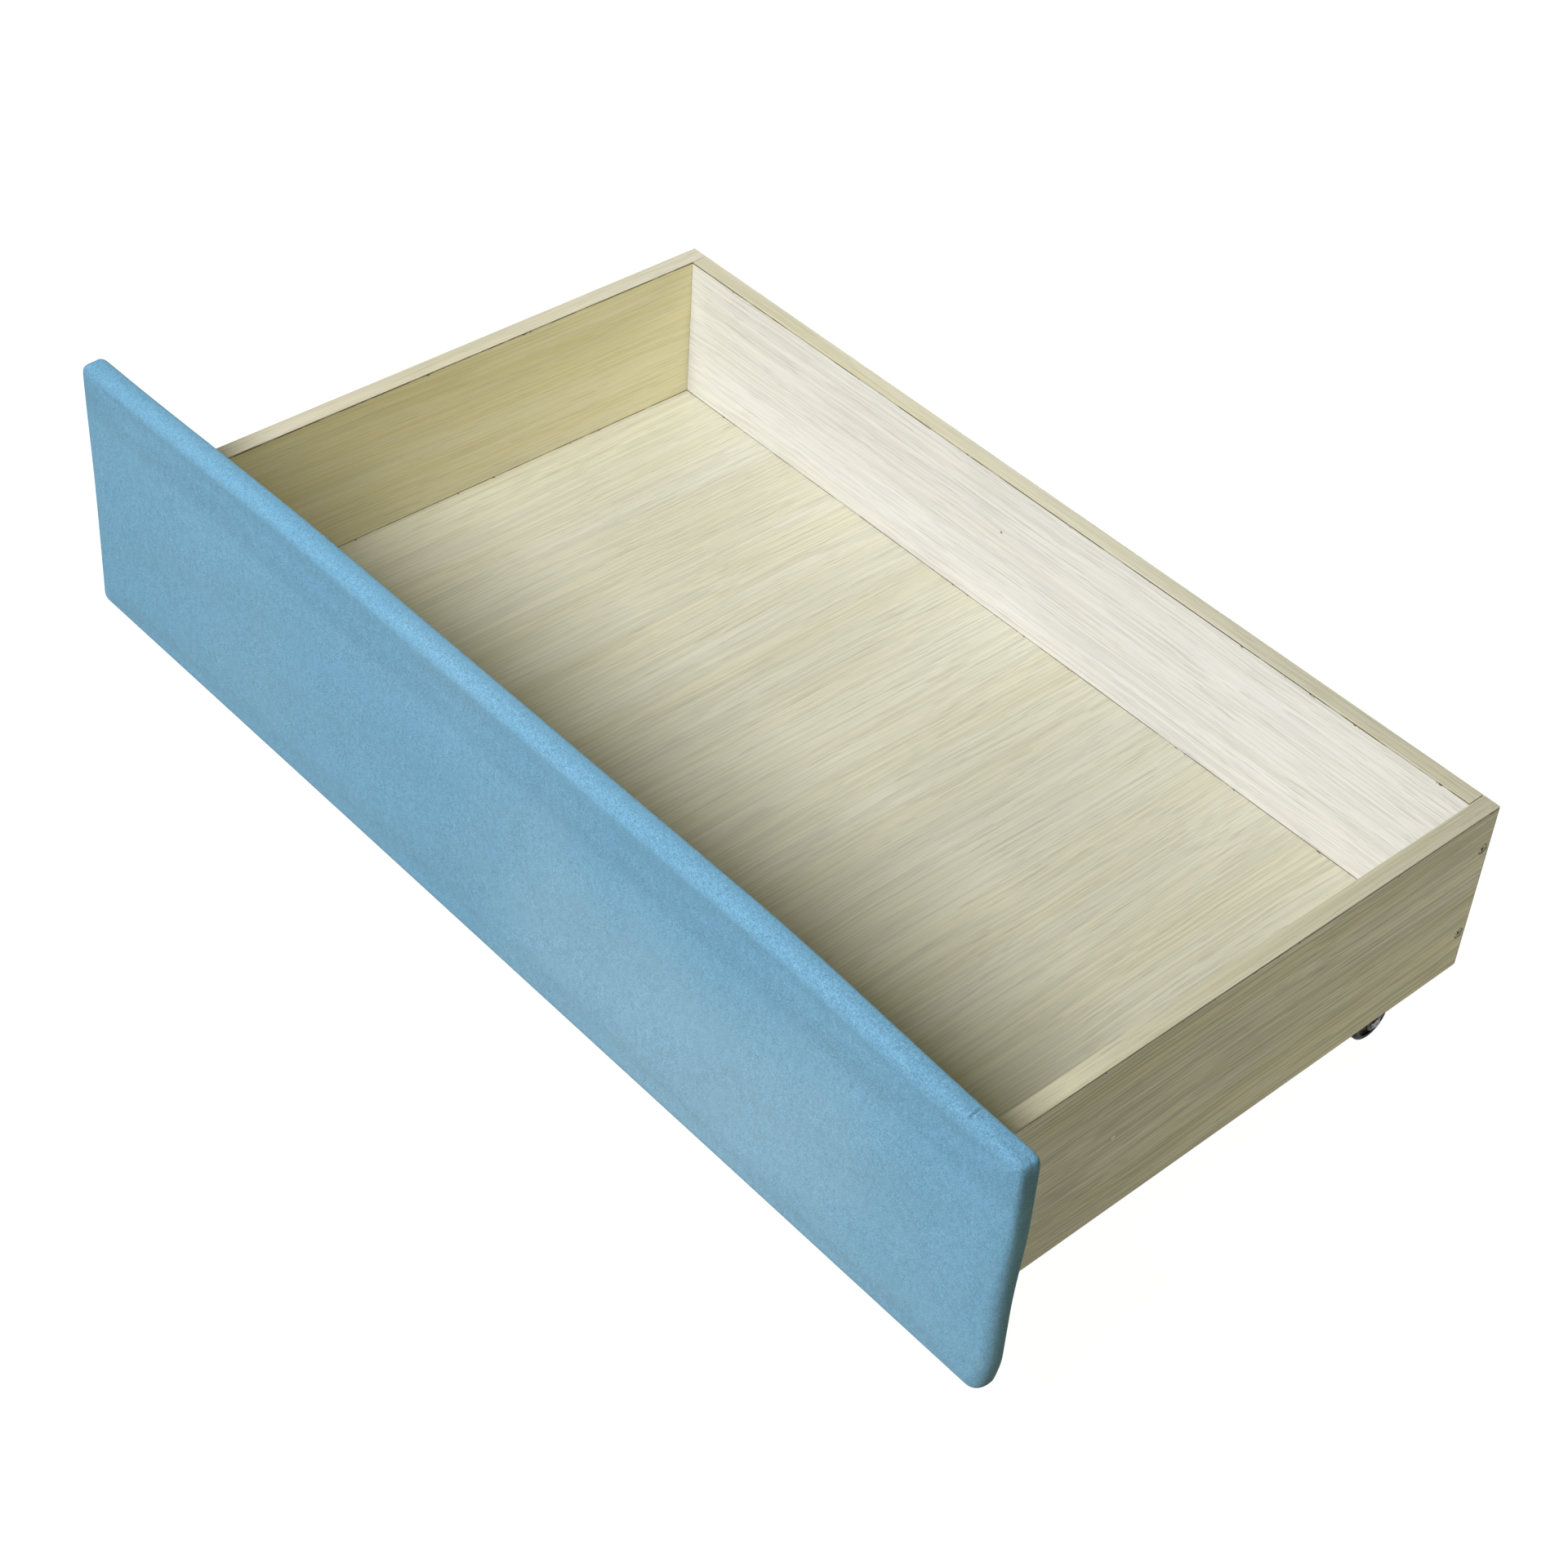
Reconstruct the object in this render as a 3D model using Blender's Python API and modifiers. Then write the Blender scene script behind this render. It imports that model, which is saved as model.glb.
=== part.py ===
"""Under-bed box: a melamine board drawer on four fixed casters, with an upholstered front panel.

Metres, +Z up. X runs across the width, and the upholstered front faces -Y. The origin lies on the floor,
at the bottom centre of the whole object.
"""

import math

import bmesh
import bpy
from mathutils import Matrix, Vector

# ---- Driving dimensions -------------------------------------------------------------------------------

GAP = 0.0003  # air between two pieces that touch

# box
BOX_WIDTH = 0.874
BOX_DEPTH = 0.531
SIDE_HEIGHT = 0.158
BOARD = 0.015  # thickness of the sides, the back and the battens
BASE_BOARD = 0.012
GROOVE_DEPTH = 0.005
BAND = 0.001
BATTEN_WIDTH = 0.060

# front panel, from the front backwards
PANEL_WIDTH = 1.000
PANEL_HEIGHT = 0.240
PANEL_ABOVE_SIDES = 0.003  # the panel's lower edge stands this much above the sides' lower edges
PANEL_CORNER = 0.012
COVER_WALL = 0.001
COVER_ROUNDING = 0.002
COVER_RETURN = 0.025  # how far the cover is turned in over the panel's back
FOAM = 0.004
PANEL_BOARD = 0.012

# casters
CASTER_HEIGHT = 0.050
CASTER_FROM_SIDE = 0.025  # outer face of the box to the middle of the wheel
CASTER_FROM_END = 0.066  # front or back end of the box to the axle
WHEEL_RADIUS = 0.019
WHEEL_WIDTH = 0.017
WHEEL_HUB_RADIUS = 0.0065
WHEEL_DISH_RADIUS = 0.0135
WHEEL_DISH_DEPTH = 0.002
TREAD_ROUNDING = 0.003
AXLE_RADIUS = 0.0025
RIVET_HEAD_RADIUS = 0.0045
RIVET_HEAD_HEIGHT = 0.0016
SHEET = 0.0018  # the bracket's sheet steel
PLATE_LENGTH = 0.060
PLATE_WIDTH = 0.044
PLATE_CORNER = 0.004
LEG_TOP_LENGTH = 0.036
LEG_END_RADIUS = 0.0075
WHEEL_SIDE_PLAY = 0.0008
PLATE_HOLE_X = 0.017  # half the spacing of the plate's holes
PLATE_HOLE_Y = 0.022

# screws and fittings
FIXING_RISES = (0.0365, 0.121)  # heights above the sides' lower edges
BACK_SCREW_LENGTH = 0.035
BACK_SCREW_SHANK = 0.0019
BACK_SCREW_HEAD = 0.0040
BACK_SCREW_CONE = 0.0024
PLATE_SCREW_LENGTH = 0.012
PLATE_SCREW_SHANK = 0.0016
PLATE_SCREW_HEAD = 0.0035
PLATE_SCREW_HEAD_HEIGHT = 0.0022
RECESS_WIDTH = 0.0010
RECESS_DEPTH = 0.0015
CAM_SETBACK = 0.034  # front end of a side board to the middle of its cam
CAM_RADIUS = 0.0072
CAM_LENGTH = 0.0120
CAM_SLOT_DEPTH = 0.0020
BOLT_SHAFT = 0.0025
BOLT_NECK = 0.0016
BOLT_HEAD = 0.0034
BOLT_THREAD = 0.0028
BOLT_THREAD_LENGTH = 0.0095
BOLT_BORE = 0.0038

# ---- Places worked out from them ------------------------------------------------------------------------

PANEL_THICKNESS = 2 * COVER_WALL + FOAM + PANEL_BOARD + 3 * GAP
FRONT = -(PANEL_THICKNESS + GAP + BOX_DEPTH) / 2  # the velvet's front face
PANEL_BACK = FRONT + PANEL_THICKNESS
BOX_FRONT = PANEL_BACK + GAP
BOX_BACK = BOX_FRONT + BOX_DEPTH
OUTER = BOX_WIDTH / 2
INNER = OUTER - BOARD
BOTTOM = CASTER_HEIGHT
TOP = BOTTOM + SIDE_HEIGHT
BACK_INNER = BOX_BACK - BOARD
BASE_UNDER = BOTTOM + BOARD + GAP
BASE_TOP = BASE_UNDER + BASE_BOARD
PANEL_LOW = BOTTOM + PANEL_ABOVE_SIDES
PANEL_TOP = PANEL_LOW + PANEL_HEIGHT
PANEL_MIDDLE = (PANEL_LOW + PANEL_TOP) / 2
BOARD_FRONT = FRONT + COVER_WALL + FOAM + 2 * GAP  # front face of the panel's core
BOARD_BACK = BOARD_FRONT + PANEL_BOARD
BACK_MIDDLE = BOX_BACK - BOARD / 2
SIDE_MIDDLE = OUTER - BOARD / 2
PLATE_TOP = BOTTOM - GAP
LEG_INNER = WHEEL_WIDTH / 2 + WHEEL_SIDE_PLAY

ALONG_X = (0, math.pi / 2, 0)
ALONG_Y = (-math.pi / 2, 0, 0)
UPRIGHT = (0, 0, 0)
UPSIDE_DOWN = (math.pi, 0, 0)

SIDES = {"left": -1, "right": 1}
ENDS = {"front": BOX_FRONT + CASTER_FROM_END, "back": BOX_BACK - CASTER_FROM_END}
PLATE_HOLES = [(x, y) for x in (-PLATE_HOLE_X, PLATE_HOLE_X) for y in (-PLATE_HOLE_Y, PLATE_HOLE_Y)]


# ---- Scene helpers --------------------------------------------------------------------------------------

def clear_scene():
    for item in list(bpy.data.objects):
        bpy.data.objects.remove(item)


def new_collection(name):
    made = bpy.data.collections.new(name)
    bpy.context.scene.collection.children.link(made)
    return made


def new_material(name, colour, roughness, metallic=0.0):
    material = bpy.data.materials.new(name)
    material.use_nodes = True
    material.diffuse_color = (*colour, 1.0)
    shader = material.node_tree.nodes["Principled BSDF"]
    shader.inputs["Base Color"].default_value = (*colour, 1.0)
    shader.inputs["Roughness"].default_value = roughness
    shader.inputs["Metallic"].default_value = metallic
    return material


def new_object(name, mesh, place=(0, 0, 0), turn=UPRIGHT, material=None):
    """An object in the parts' collection, or in the cutters' one if it has no material."""
    made = bpy.data.objects.new(name, mesh)
    made.location = place
    made.rotation_euler = turn
    if material is None:
        cutters.objects.link(made)
        made.hide_render = True
        made.display_type = "WIRE"
    else:
        parts.objects.link(made)
        if not mesh.materials:
            mesh.materials.append(material)
    return made


def mesh_from(name, bm):
    mesh = bpy.data.meshes.new(name)
    bm.to_mesh(mesh)
    bm.free()
    return mesh


def smooth(mesh, angle=math.radians(35)):
    mesh.shade_smooth()
    mesh.set_sharp_from_angle(angle=angle)


# ---- Shapes ---------------------------------------------------------------------------------------------

def block(name, low, high, material=None, corner=0.0):
    """A box between two corners. A corner radius rounds the four edges that run along Y."""
    low, high = Vector(low), Vector(high)
    bm = bmesh.new()
    bmesh.ops.create_cube(bm, size=1.0, matrix=Matrix.Diagonal((*(high - low), 1.0)))
    if corner:
        along = [e for e in bm.edges if abs((e.verts[0].co - e.verts[1].co).y) > GAP]
        bmesh.ops.bevel(bm, geom=along, offset=corner, segments=5, profile=0.5, affect="EDGES")
    return new_object(name, mesh_from(name, bm), (low + high) / 2, UPRIGHT, material)


def rod(name, radius, length, start, turn, sides=12, far_radius=None):
    """A cylinder or cone for cutting. It runs from its start along its own +Z, turned as asked."""
    bm = bmesh.new()
    bmesh.ops.create_cone(
        bm,
        cap_ends=True,
        segments=sides,
        radius1=radius,
        radius2=radius if far_radius is None else far_radius,
        depth=length,
        matrix=Matrix.Translation((0, 0, length / 2)),
    )
    return new_object(name, mesh_from(name, bm), start, turn)


def turned(name, profile, steps, closed=False):
    """A blank turned about Z. The profile's (radius, height) points run down its outer side."""
    bm = bmesh.new()
    points = [bm.verts.new((radius, 0, height)) for radius, height in profile]
    follow = points[1:] + points[:1] if closed else points[1:]
    for first, second in zip(points, follow):
        bm.edges.new((first, second))
    made = new_object(name, mesh_from(name, bm))
    screw = made.modifiers.new("Turn", "SCREW")
    screw.axis = "Z"
    screw.steps = steps
    screw.render_steps = steps
    screw.use_merge_vertices = True
    screw.merge_threshold = 0.00001
    screw.use_normal_calculate = False
    return made


def flat_plate(name, outline, thickness):
    """A flat outline in the YZ plane, given a thickness along X on both sides of it."""
    bm = bmesh.new()
    bm.faces.new([bm.verts.new((0, y, z)) for y, z in outline])
    made = new_object(name, mesh_from(name, bm))
    wall = made.modifiers.new("Thickness", "SOLIDIFY")
    wall.thickness = thickness
    wall.offset = 0
    return made


def boolean(target, other, operation):
    modifier = target.modifiers.new(other.name, "BOOLEAN")
    modifier.operation = operation
    modifier.solver = "EXACT"
    modifier.object = other


def cut(target, *blades):
    for blade in blades:
        boolean(target, blade, "DIFFERENCE")


def join(target, *pieces):
    for piece in pieces:
        boolean(target, piece, "UNION")


def finished_mesh(name, blank):
    """The blank's mesh with its modifiers done, for several pieces to share. The blank and its blades go."""
    bpy.context.view_layer.update()
    graph = bpy.context.evaluated_depsgraph_get()
    mesh = bpy.data.meshes.new_from_object(blank.evaluated_get(graph))
    mesh.transform(blank.matrix_world)
    mesh.name = name
    used = [m.object for m in blank.modifiers if m.type == "BOOLEAN"]
    for item in [blank, *used]:
        bpy.data.objects.remove(item)
    smooth(mesh)
    return mesh


# ---- Box ------------------------------------------------------------------------------------------------

def side_board(side, sign):
    """A side with its base groove and the holes for back screws, cam fittings and caster screws."""
    name = f"side_{side}"
    low_x, high_x = sorted((sign * INNER, sign * OUTER))
    high = (high_x, BOX_BACK - BAND - GAP, TOP - BAND - GAP)
    board = block(name, (low_x, BOX_FRONT, BOTTOM), high, oak_board)

    groove_x = sorted((sign * (INNER - GAP), sign * (INNER + GROOVE_DEPTH)))
    groove_low = (groove_x[0], BOX_FRONT - GAP, BASE_UNDER - GAP)
    groove_high = (groove_x[1], BACK_INNER + GROOVE_DEPTH, BASE_TOP + GAP)
    cut(board, block(f"{name}_groove", groove_low, groove_high))

    outward = (0, sign * math.pi / 2, 0)
    for level, rise in zip(("lower", "upper"), FIXING_RISES):
        height = BOTTOM + rise
        screw_start = (sign * (INNER - GAP), BACK_MIDDLE, height)
        sink_start = (sign * (OUTER - BACK_SCREW_CONE - 2 * GAP), BACK_MIDDLE, height)
        cut(
            board,
            rod(f"{name}_screw_hole_{level}", BACK_SCREW_SHANK + GAP, BOARD + 2 * GAP, screw_start, outward),
            rod(
                f"{name}_countersink_{level}",
                BACK_SCREW_SHANK + GAP,
                BACK_SCREW_CONE + 3 * GAP,
                sink_start,
                outward,
                sides=16,
                far_radius=BACK_SCREW_HEAD + 3 * GAP,
            ),
        )
        cam_start = (sign * (INNER - GAP), BOX_FRONT + CAM_SETBACK, height)
        cam_depth = CAM_LENGTH + 3 * GAP
        bore_start = (sign * SIDE_MIDDLE, BOX_FRONT - GAP, height)
        cut(
            board,
            rod(f"{name}_cam_pocket_{level}", CAM_RADIUS + GAP, cam_depth, cam_start, outward, sides=20),
            rod(f"{name}_bolt_bore_{level}", BOLT_BORE, CAM_SETBACK, bore_start, ALONG_Y),
        )
    for end, axle_y in ENDS.items():
        pilot_holes(board, f"{name}_{end}", sign * (OUTER - CASTER_FROM_SIDE + PLATE_HOLE_X), axle_y)


def pilot_holes(board, name, x, axle_y):
    """Two blind holes from below, for one row of a caster's plate screws."""
    for row, offset in enumerate((-PLATE_HOLE_Y, PLATE_HOLE_Y)):
        start = (x, axle_y + offset, BOTTOM - GAP)
        cut(board, rod(f"{name}_pilot_{row}", PLATE_SCREW_SHANK + GAP, PLATE_SCREW_LENGTH, start, UPRIGHT))


def back_board():
    """The back, between the sides, with a groove for the base and screw holes in its ends."""
    reach = INNER - GAP
    board = block("back_board", (-reach, BACK_INNER, BOTTOM), (reach, BOX_BACK, TOP - BAND - GAP), oak_board)
    groove_low = (-reach - GAP, BACK_INNER - GAP, BASE_UNDER - GAP)
    groove_high = (reach + GAP, BACK_INNER + GROOVE_DEPTH, BASE_TOP + GAP)
    cut(board, block("back_groove", groove_low, groove_high))
    depth = BACK_SCREW_LENGTH - BOARD + 2 * GAP
    for side, sign in SIDES.items():
        inward = (0, -sign * math.pi / 2, 0)
        for rise in FIXING_RISES:
            start = (sign * (reach + GAP), BACK_MIDDLE, BOTTOM + rise)
            cut(board, rod(f"back_hole_{side}", BACK_SCREW_SHANK + GAP, depth, start, inward))


def base_board():
    """The bottom panel, let into the grooves of the sides and the back."""
    reach = INNER + GROOVE_DEPTH - GAP
    back = BACK_INNER + GROOVE_DEPTH - GAP
    block("base_board", (-reach, BOX_FRONT, BASE_UNDER), (reach, back, BASE_TOP), oak_board)


def batten(side, sign):
    """A strip under the base along one side, flush with the side's lower edge."""
    outer, inner = sign * (INNER - GAP), sign * (INNER - GAP - BATTEN_WIDTH)
    low_x, high_x = sorted((outer, inner))
    high = (high_x, BACK_INNER - GAP, BASE_UNDER - GAP)
    strip = block(f"batten_{side}", (low_x, BOX_FRONT, BOTTOM), high, oak_board)
    for end, axle_y in ENDS.items():
        pilot_holes(strip, f"batten_{side}_{end}", sign * (OUTER - CASTER_FROM_SIDE - PLATE_HOLE_X), axle_y)


def edge_bands():
    """Thin strips over the top edges and over the rear ends of the sides."""
    low = TOP - BAND
    block("back_top_band", (-INNER + GAP, BACK_INNER, low), (INNER - GAP, BOX_BACK, TOP), edge_band)
    for side, sign in SIDES.items():
        low_x, high_x = sorted((sign * INNER, sign * OUTER))
        block(f"side_{side}_top_band", (low_x, BOX_FRONT, low), (high_x, BOX_BACK, TOP), edge_band)
        end_low = (low_x, BOX_BACK - BAND, BOTTOM)
        block(f"side_{side}_end_band", end_low, (high_x, BOX_BACK, low - GAP), edge_band)


# ---- Front panel ----------------------------------------------------------------------------------------

def panel_block(name, inset, front, back, material=None):
    """A slab of the panel's outline, drawn in by an inset, from its front to its back."""
    reach = PANEL_WIDTH / 2 - inset
    low, high = (-reach, front, PANEL_LOW + inset), (reach, back, PANEL_TOP - inset)
    return block(name, low, high, material, corner=max(PANEL_CORNER - inset, GAP))


def front_panel():
    """Core board, foam and velvet cover, with a lining over the back inside the cover's turned-in edge."""
    inset = COVER_WALL + GAP
    cover = panel_block("panel_cover", 0, FRONT, PANEL_BACK, velvet)
    bevel = cover.modifiers.new("Rounding", "BEVEL")
    bevel.width = COVER_ROUNDING
    bevel.segments = 2
    bevel.limit_method = "ANGLE"
    bevel.angle_limit = math.radians(60)
    hollow = panel_block("cover_hollow", COVER_WALL, FRONT + COVER_WALL, PANEL_BACK - COVER_WALL)
    window = panel_block("cover_window", COVER_RETURN, FRONT + 2 * COVER_WALL, PANEL_BACK + COVER_WALL)
    cut(cover, hollow, window)

    panel_block("panel_foam", inset, FRONT + inset, FRONT + inset + FOAM, foam)
    core = panel_block("panel_board", inset, BOARD_FRONT, BOARD_BACK, raw_board)
    lining = panel_block("panel_lining", COVER_RETURN + GAP, BOARD_BACK + GAP, PANEL_BACK, lining_cloth)
    for side, sign in SIDES.items():
        for rise in FIXING_RISES:
            start = (sign * SIDE_MIDDLE, BOARD_BACK - BOLT_THREAD_LENGTH - 2 * GAP, BOTTOM + rise)
            name = f"bolt_hole_{side}"
            cut(core, rod(name, BOLT_THREAD + GAP, PANEL_BOARD, start, ALONG_Y))
            cut(lining, rod(name, BOLT_THREAD + GAP, PANEL_BOARD, start, ALONG_Y))


# ---- Screws and fittings ----------------------------------------------------------------------------------

def cross_recess(top):
    """Two crossed bars that cut the driver's recess into a screw's head, whose top is at the height given."""
    reach = 0.55 * PLATE_SCREW_HEAD
    half = RECESS_WIDTH / 2
    floor, above = top - RECESS_DEPTH, top + RECESS_DEPTH
    wide = block("recess_wide", (-reach, -half, floor), (reach, half, above))
    deep = block("recess_deep", (-half, -reach, floor), (half, reach, above))
    return wide, deep


def countersunk_screw_mesh():
    """A screw whose head's top is at z = 0 and whose point is down."""
    tip = 0.004
    profile = [
        (0, 0),
        (BACK_SCREW_HEAD, 0),
        (BACK_SCREW_SHANK, -BACK_SCREW_CONE),
        (BACK_SCREW_SHANK, tip - BACK_SCREW_LENGTH),
        (0, -BACK_SCREW_LENGTH),
    ]
    blank = turned("back_screw", profile, 14)
    cut(blank, *cross_recess(0))
    return finished_mesh("back_screw", blank)


def pan_screw_mesh():
    """A screw whose head rests on z = 0 and whose point is down."""
    tip = 0.002
    profile = [
        (0, PLATE_SCREW_HEAD_HEIGHT),
        (0.6 * PLATE_SCREW_HEAD, PLATE_SCREW_HEAD_HEIGHT),
        (PLATE_SCREW_HEAD, 0.4 * PLATE_SCREW_HEAD_HEIGHT),
        (PLATE_SCREW_HEAD, 0),
        (PLATE_SCREW_SHANK, 0),
        (PLATE_SCREW_SHANK, tip - PLATE_SCREW_LENGTH),
        (0, -PLATE_SCREW_LENGTH),
    ]
    blank = turned("plate_screw", profile, 12)
    cut(blank, *cross_recess(PLATE_SCREW_HEAD_HEIGHT))
    return finished_mesh("plate_screw", blank)


def cam_bolt_mesh():
    """A bolt whose thread ends at z = 0, with its head up, where the cam grips it."""
    thread = BOLT_THREAD_LENGTH
    neck_low = thread + CAM_SETBACK - 0.005
    head_low = thread + CAM_SETBACK - 0.001
    profile = [
        (0, head_low + 0.003),
        (BOLT_HEAD, head_low + 0.003),
        (BOLT_HEAD, head_low),
        (BOLT_NECK, head_low - 0.001),
        (BOLT_NECK, neck_low),
        (BOLT_SHAFT, neck_low - 0.001),
        (BOLT_SHAFT, thread),
        (BOLT_THREAD, thread - 0.001),
        (BOLT_THREAD, 0.001),
        (0, 0),
    ]
    return finished_mesh("cam_bolt", turned("cam_bolt", profile, 12))


def cam_nut_mesh():
    """A round nut about Z, its slotted face up, bored from its -Y side past its middle for the bolt's head."""
    profile = [(0, 0), (CAM_RADIUS, 0), (CAM_RADIUS, -CAM_LENGTH), (0, -CAM_LENGTH)]
    blank = turned("cam_nut", profile, 20)
    bore_depth = CAM_RADIUS + BOLT_HEAD + 4 * GAP
    bore = rod("cam_bore", BOLT_BORE, bore_depth, (0, -CAM_RADIUS - GAP, GAP - BOARD / 2), ALONG_Y)
    half, reach = CAM_SLOT_DEPTH / 2, 0.7 * CAM_RADIUS
    slot = block("cam_slot", (-reach, -half, -CAM_SLOT_DEPTH), (reach, half, CAM_SLOT_DEPTH))
    cut(blank, bore, slot)
    return finished_mesh("cam_nut", blank)


def box_fixings():
    """The screws of the back joints and the cam fittings of the front ones."""
    screw, bolt, nut = countersunk_screw_mesh(), cam_bolt_mesh(), cam_nut_mesh()
    for side, sign in SIDES.items():
        outward = (0, sign * math.pi / 2, 0)
        inward = (0, -sign * math.pi / 2, 0)
        for level, rise in zip(("lower", "upper"), FIXING_RISES):
            height = BOTTOM + rise
            head = (sign * (OUTER - GAP), BACK_MIDDLE, height)
            new_object(f"back_screw_{side}_{level}", screw, head, outward, zinc_yellow)
            thread_end = (sign * SIDE_MIDDLE, BOARD_BACK - BOLT_THREAD_LENGTH, height)
            new_object(f"cam_bolt_{side}_{level}", bolt, thread_end, ALONG_Y, zinc)
            face = (sign * (INNER + GAP), BOX_FRONT + CAM_SETBACK, height)
            new_object(f"cam_nut_{side}_{level}", nut, face, inward, zinc)


# ---- Casters, each about its axle's centre ----------------------------------------------------------------

def wheel_mesh():
    """A wheel about Z, with a rounded tread, dished faces and a bored hub."""
    half = WHEEL_WIDTH / 2
    dish = half - WHEEL_DISH_DEPTH
    shoulder = WHEEL_RADIUS - TREAD_ROUNDING
    outer = [(WHEEL_HUB_RADIUS, half), (WHEEL_HUB_RADIUS, dish), (WHEEL_DISH_RADIUS, dish)]
    for angle in (0, math.pi / 4, math.pi / 2):
        drop = TREAD_ROUNDING * (1 - math.cos(angle))
        outer.append((shoulder + TREAD_ROUNDING * math.sin(angle), half - drop))
    outer.insert(0, (AXLE_RADIUS + GAP, half))
    profile = outer + [(radius, -height) for radius, height in reversed(outer)]
    return finished_mesh("caster_wheel", turned("caster_wheel", profile, 32, closed=True))


def axle_mesh():
    """A rivet about Z, with a domed head outside each leg of the bracket."""
    seat = LEG_INNER + SHEET + GAP
    top = seat + RIVET_HEAD_HEIGHT
    upper = [(0, top), (0.6 * RIVET_HEAD_RADIUS, top), (RIVET_HEAD_RADIUS, seat + 0.4 * RIVET_HEAD_HEIGHT)]
    upper += [(RIVET_HEAD_RADIUS, seat), (AXLE_RADIUS, seat)]
    profile = upper + [(radius, -height) for radius, height in reversed(upper)]
    return finished_mesh("caster_axle", turned("caster_axle", profile, 14))


def leg_outline(top):
    """A leg in the YZ plane: straight edges from its wide top, tangent to the round end about the axle."""
    half = LEG_TOP_LENGTH / 2
    reach = math.hypot(half, top)
    slant = math.atan2(top, half) - math.acos(LEG_END_RADIUS / reach)
    steps = 8
    turn = (math.pi + 2 * slant) / steps
    outline = [(half, top)]
    for step in range(steps + 1):
        angle = slant - step * turn
        outline.append((LEG_END_RADIUS * math.cos(angle), LEG_END_RADIUS * math.sin(angle)))
    return [*outline, (-half, top)]


def bracket_mesh():
    """A fixed fork pressed from sheet: a plate with four screw holes and two legs that hold the axle."""
    plate_top = PLATE_TOP - WHEEL_RADIUS
    plate_low = plate_top - SHEET
    reach_x, reach_y = PLATE_WIDTH / 2, PLATE_LENGTH / 2
    blank = block("bracket_plate", (-reach_x, -reach_y, plate_low), (reach_x, reach_y, plate_top))
    bevel = blank.modifiers.new("Corners", "BEVEL")
    bevel.affect = "EDGES"
    bevel.limit_method = "WEIGHT"
    bevel.width = PLATE_CORNER
    bevel.segments = 3
    weights = blank.data.attributes.new("bevel_weight_edge", "FLOAT", "EDGE")
    for edge in blank.data.edges:
        first, second = (blank.data.vertices[index].co for index in edge.vertices)
        weights.data[edge.index].value = float(abs(first.z - second.z) > GAP)
    outline = leg_outline(plate_low + SHEET / 2)
    for x in (-LEG_INNER - SHEET / 2, LEG_INNER + SHEET / 2):
        leg = flat_plate("bracket_leg", outline, SHEET)
        leg.location.x = x
        join(blank, leg)
    across = 2 * (LEG_INNER + 2 * SHEET)
    start = (-across / 2, 0, 0)
    cut(blank, rod("bracket_axle_hole", AXLE_RADIUS + GAP, across, start, ALONG_X, sides=16))
    for x, y in PLATE_HOLES:
        start = (x, y, plate_low - SHEET)
        cut(blank, rod("bracket_hole", PLATE_SCREW_SHANK + 2 * GAP, 3 * SHEET, start, UPRIGHT))
    return finished_mesh("caster_bracket", blank)


def casters():
    wheel, axle, bracket, screw = wheel_mesh(), axle_mesh(), bracket_mesh(), pan_screw_mesh()
    for side, sign in SIDES.items():
        for end, axle_y in ENDS.items():
            x = sign * (OUTER - CASTER_FROM_SIDE)
            centre = (x, axle_y, WHEEL_RADIUS)
            new_object(f"caster_wheel_{end}_{side}", wheel, centre, ALONG_X, black_plastic)
            new_object(f"caster_axle_{end}_{side}", axle, centre, ALONG_X, zinc)
            new_object(f"caster_bracket_{end}_{side}", bracket, centre, UPRIGHT, black_steel)
            for number, (dx, dy) in enumerate(PLATE_HOLES, start=1):
                seat = (x + dx, axle_y + dy, PLATE_TOP - SHEET - GAP)
                new_object(f"plate_screw_{end}_{side}_{number}", screw, seat, UPSIDE_DOWN, zinc)


# ---- The object -------------------------------------------------------------------------------------------

clear_scene()
parts = new_collection("under_bed_box")
cutters = new_collection("cutters")

oak_board = new_material("oak_board", (0.71, 0.67, 0.50), 0.50)
edge_band = new_material("edge_band", (0.62, 0.58, 0.42), 0.45)
raw_board = new_material("raw_board", (0.42, 0.30, 0.18), 0.85)
velvet = new_material("velvet", (0.16, 0.37, 0.55), 0.90)
foam = new_material("foam", (0.80, 0.78, 0.66), 0.95)
lining_cloth = new_material("lining_cloth", (0.03, 0.03, 0.035), 0.95)
black_plastic = new_material("black_plastic", (0.015, 0.015, 0.017), 0.35)
black_steel = new_material("black_steel", (0.03, 0.03, 0.03), 0.40, 0.6)
zinc = new_material("zinc", (0.62, 0.63, 0.65), 0.30, 1.0)
zinc_yellow = new_material("zinc_yellow", (0.48, 0.38, 0.20), 0.35, 1.0)

for side_name, side_sign in SIDES.items():
    side_board(side_name, side_sign)
    batten(side_name, side_sign)
back_board()
base_board()
edge_bands()
front_panel()
box_fixings()
casters()
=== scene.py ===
"""The looks of the under-bed box: velvet front panel, oak-pattern boards, edge bands, fittings and casters.

Metres, +Z up, in the CAD model's own frame. X runs across the width, the velvet front faces -Y, and the
origin lies on the floor. Every piece takes its place from the CAD nodes that it stands for.
"""

import math

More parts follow.
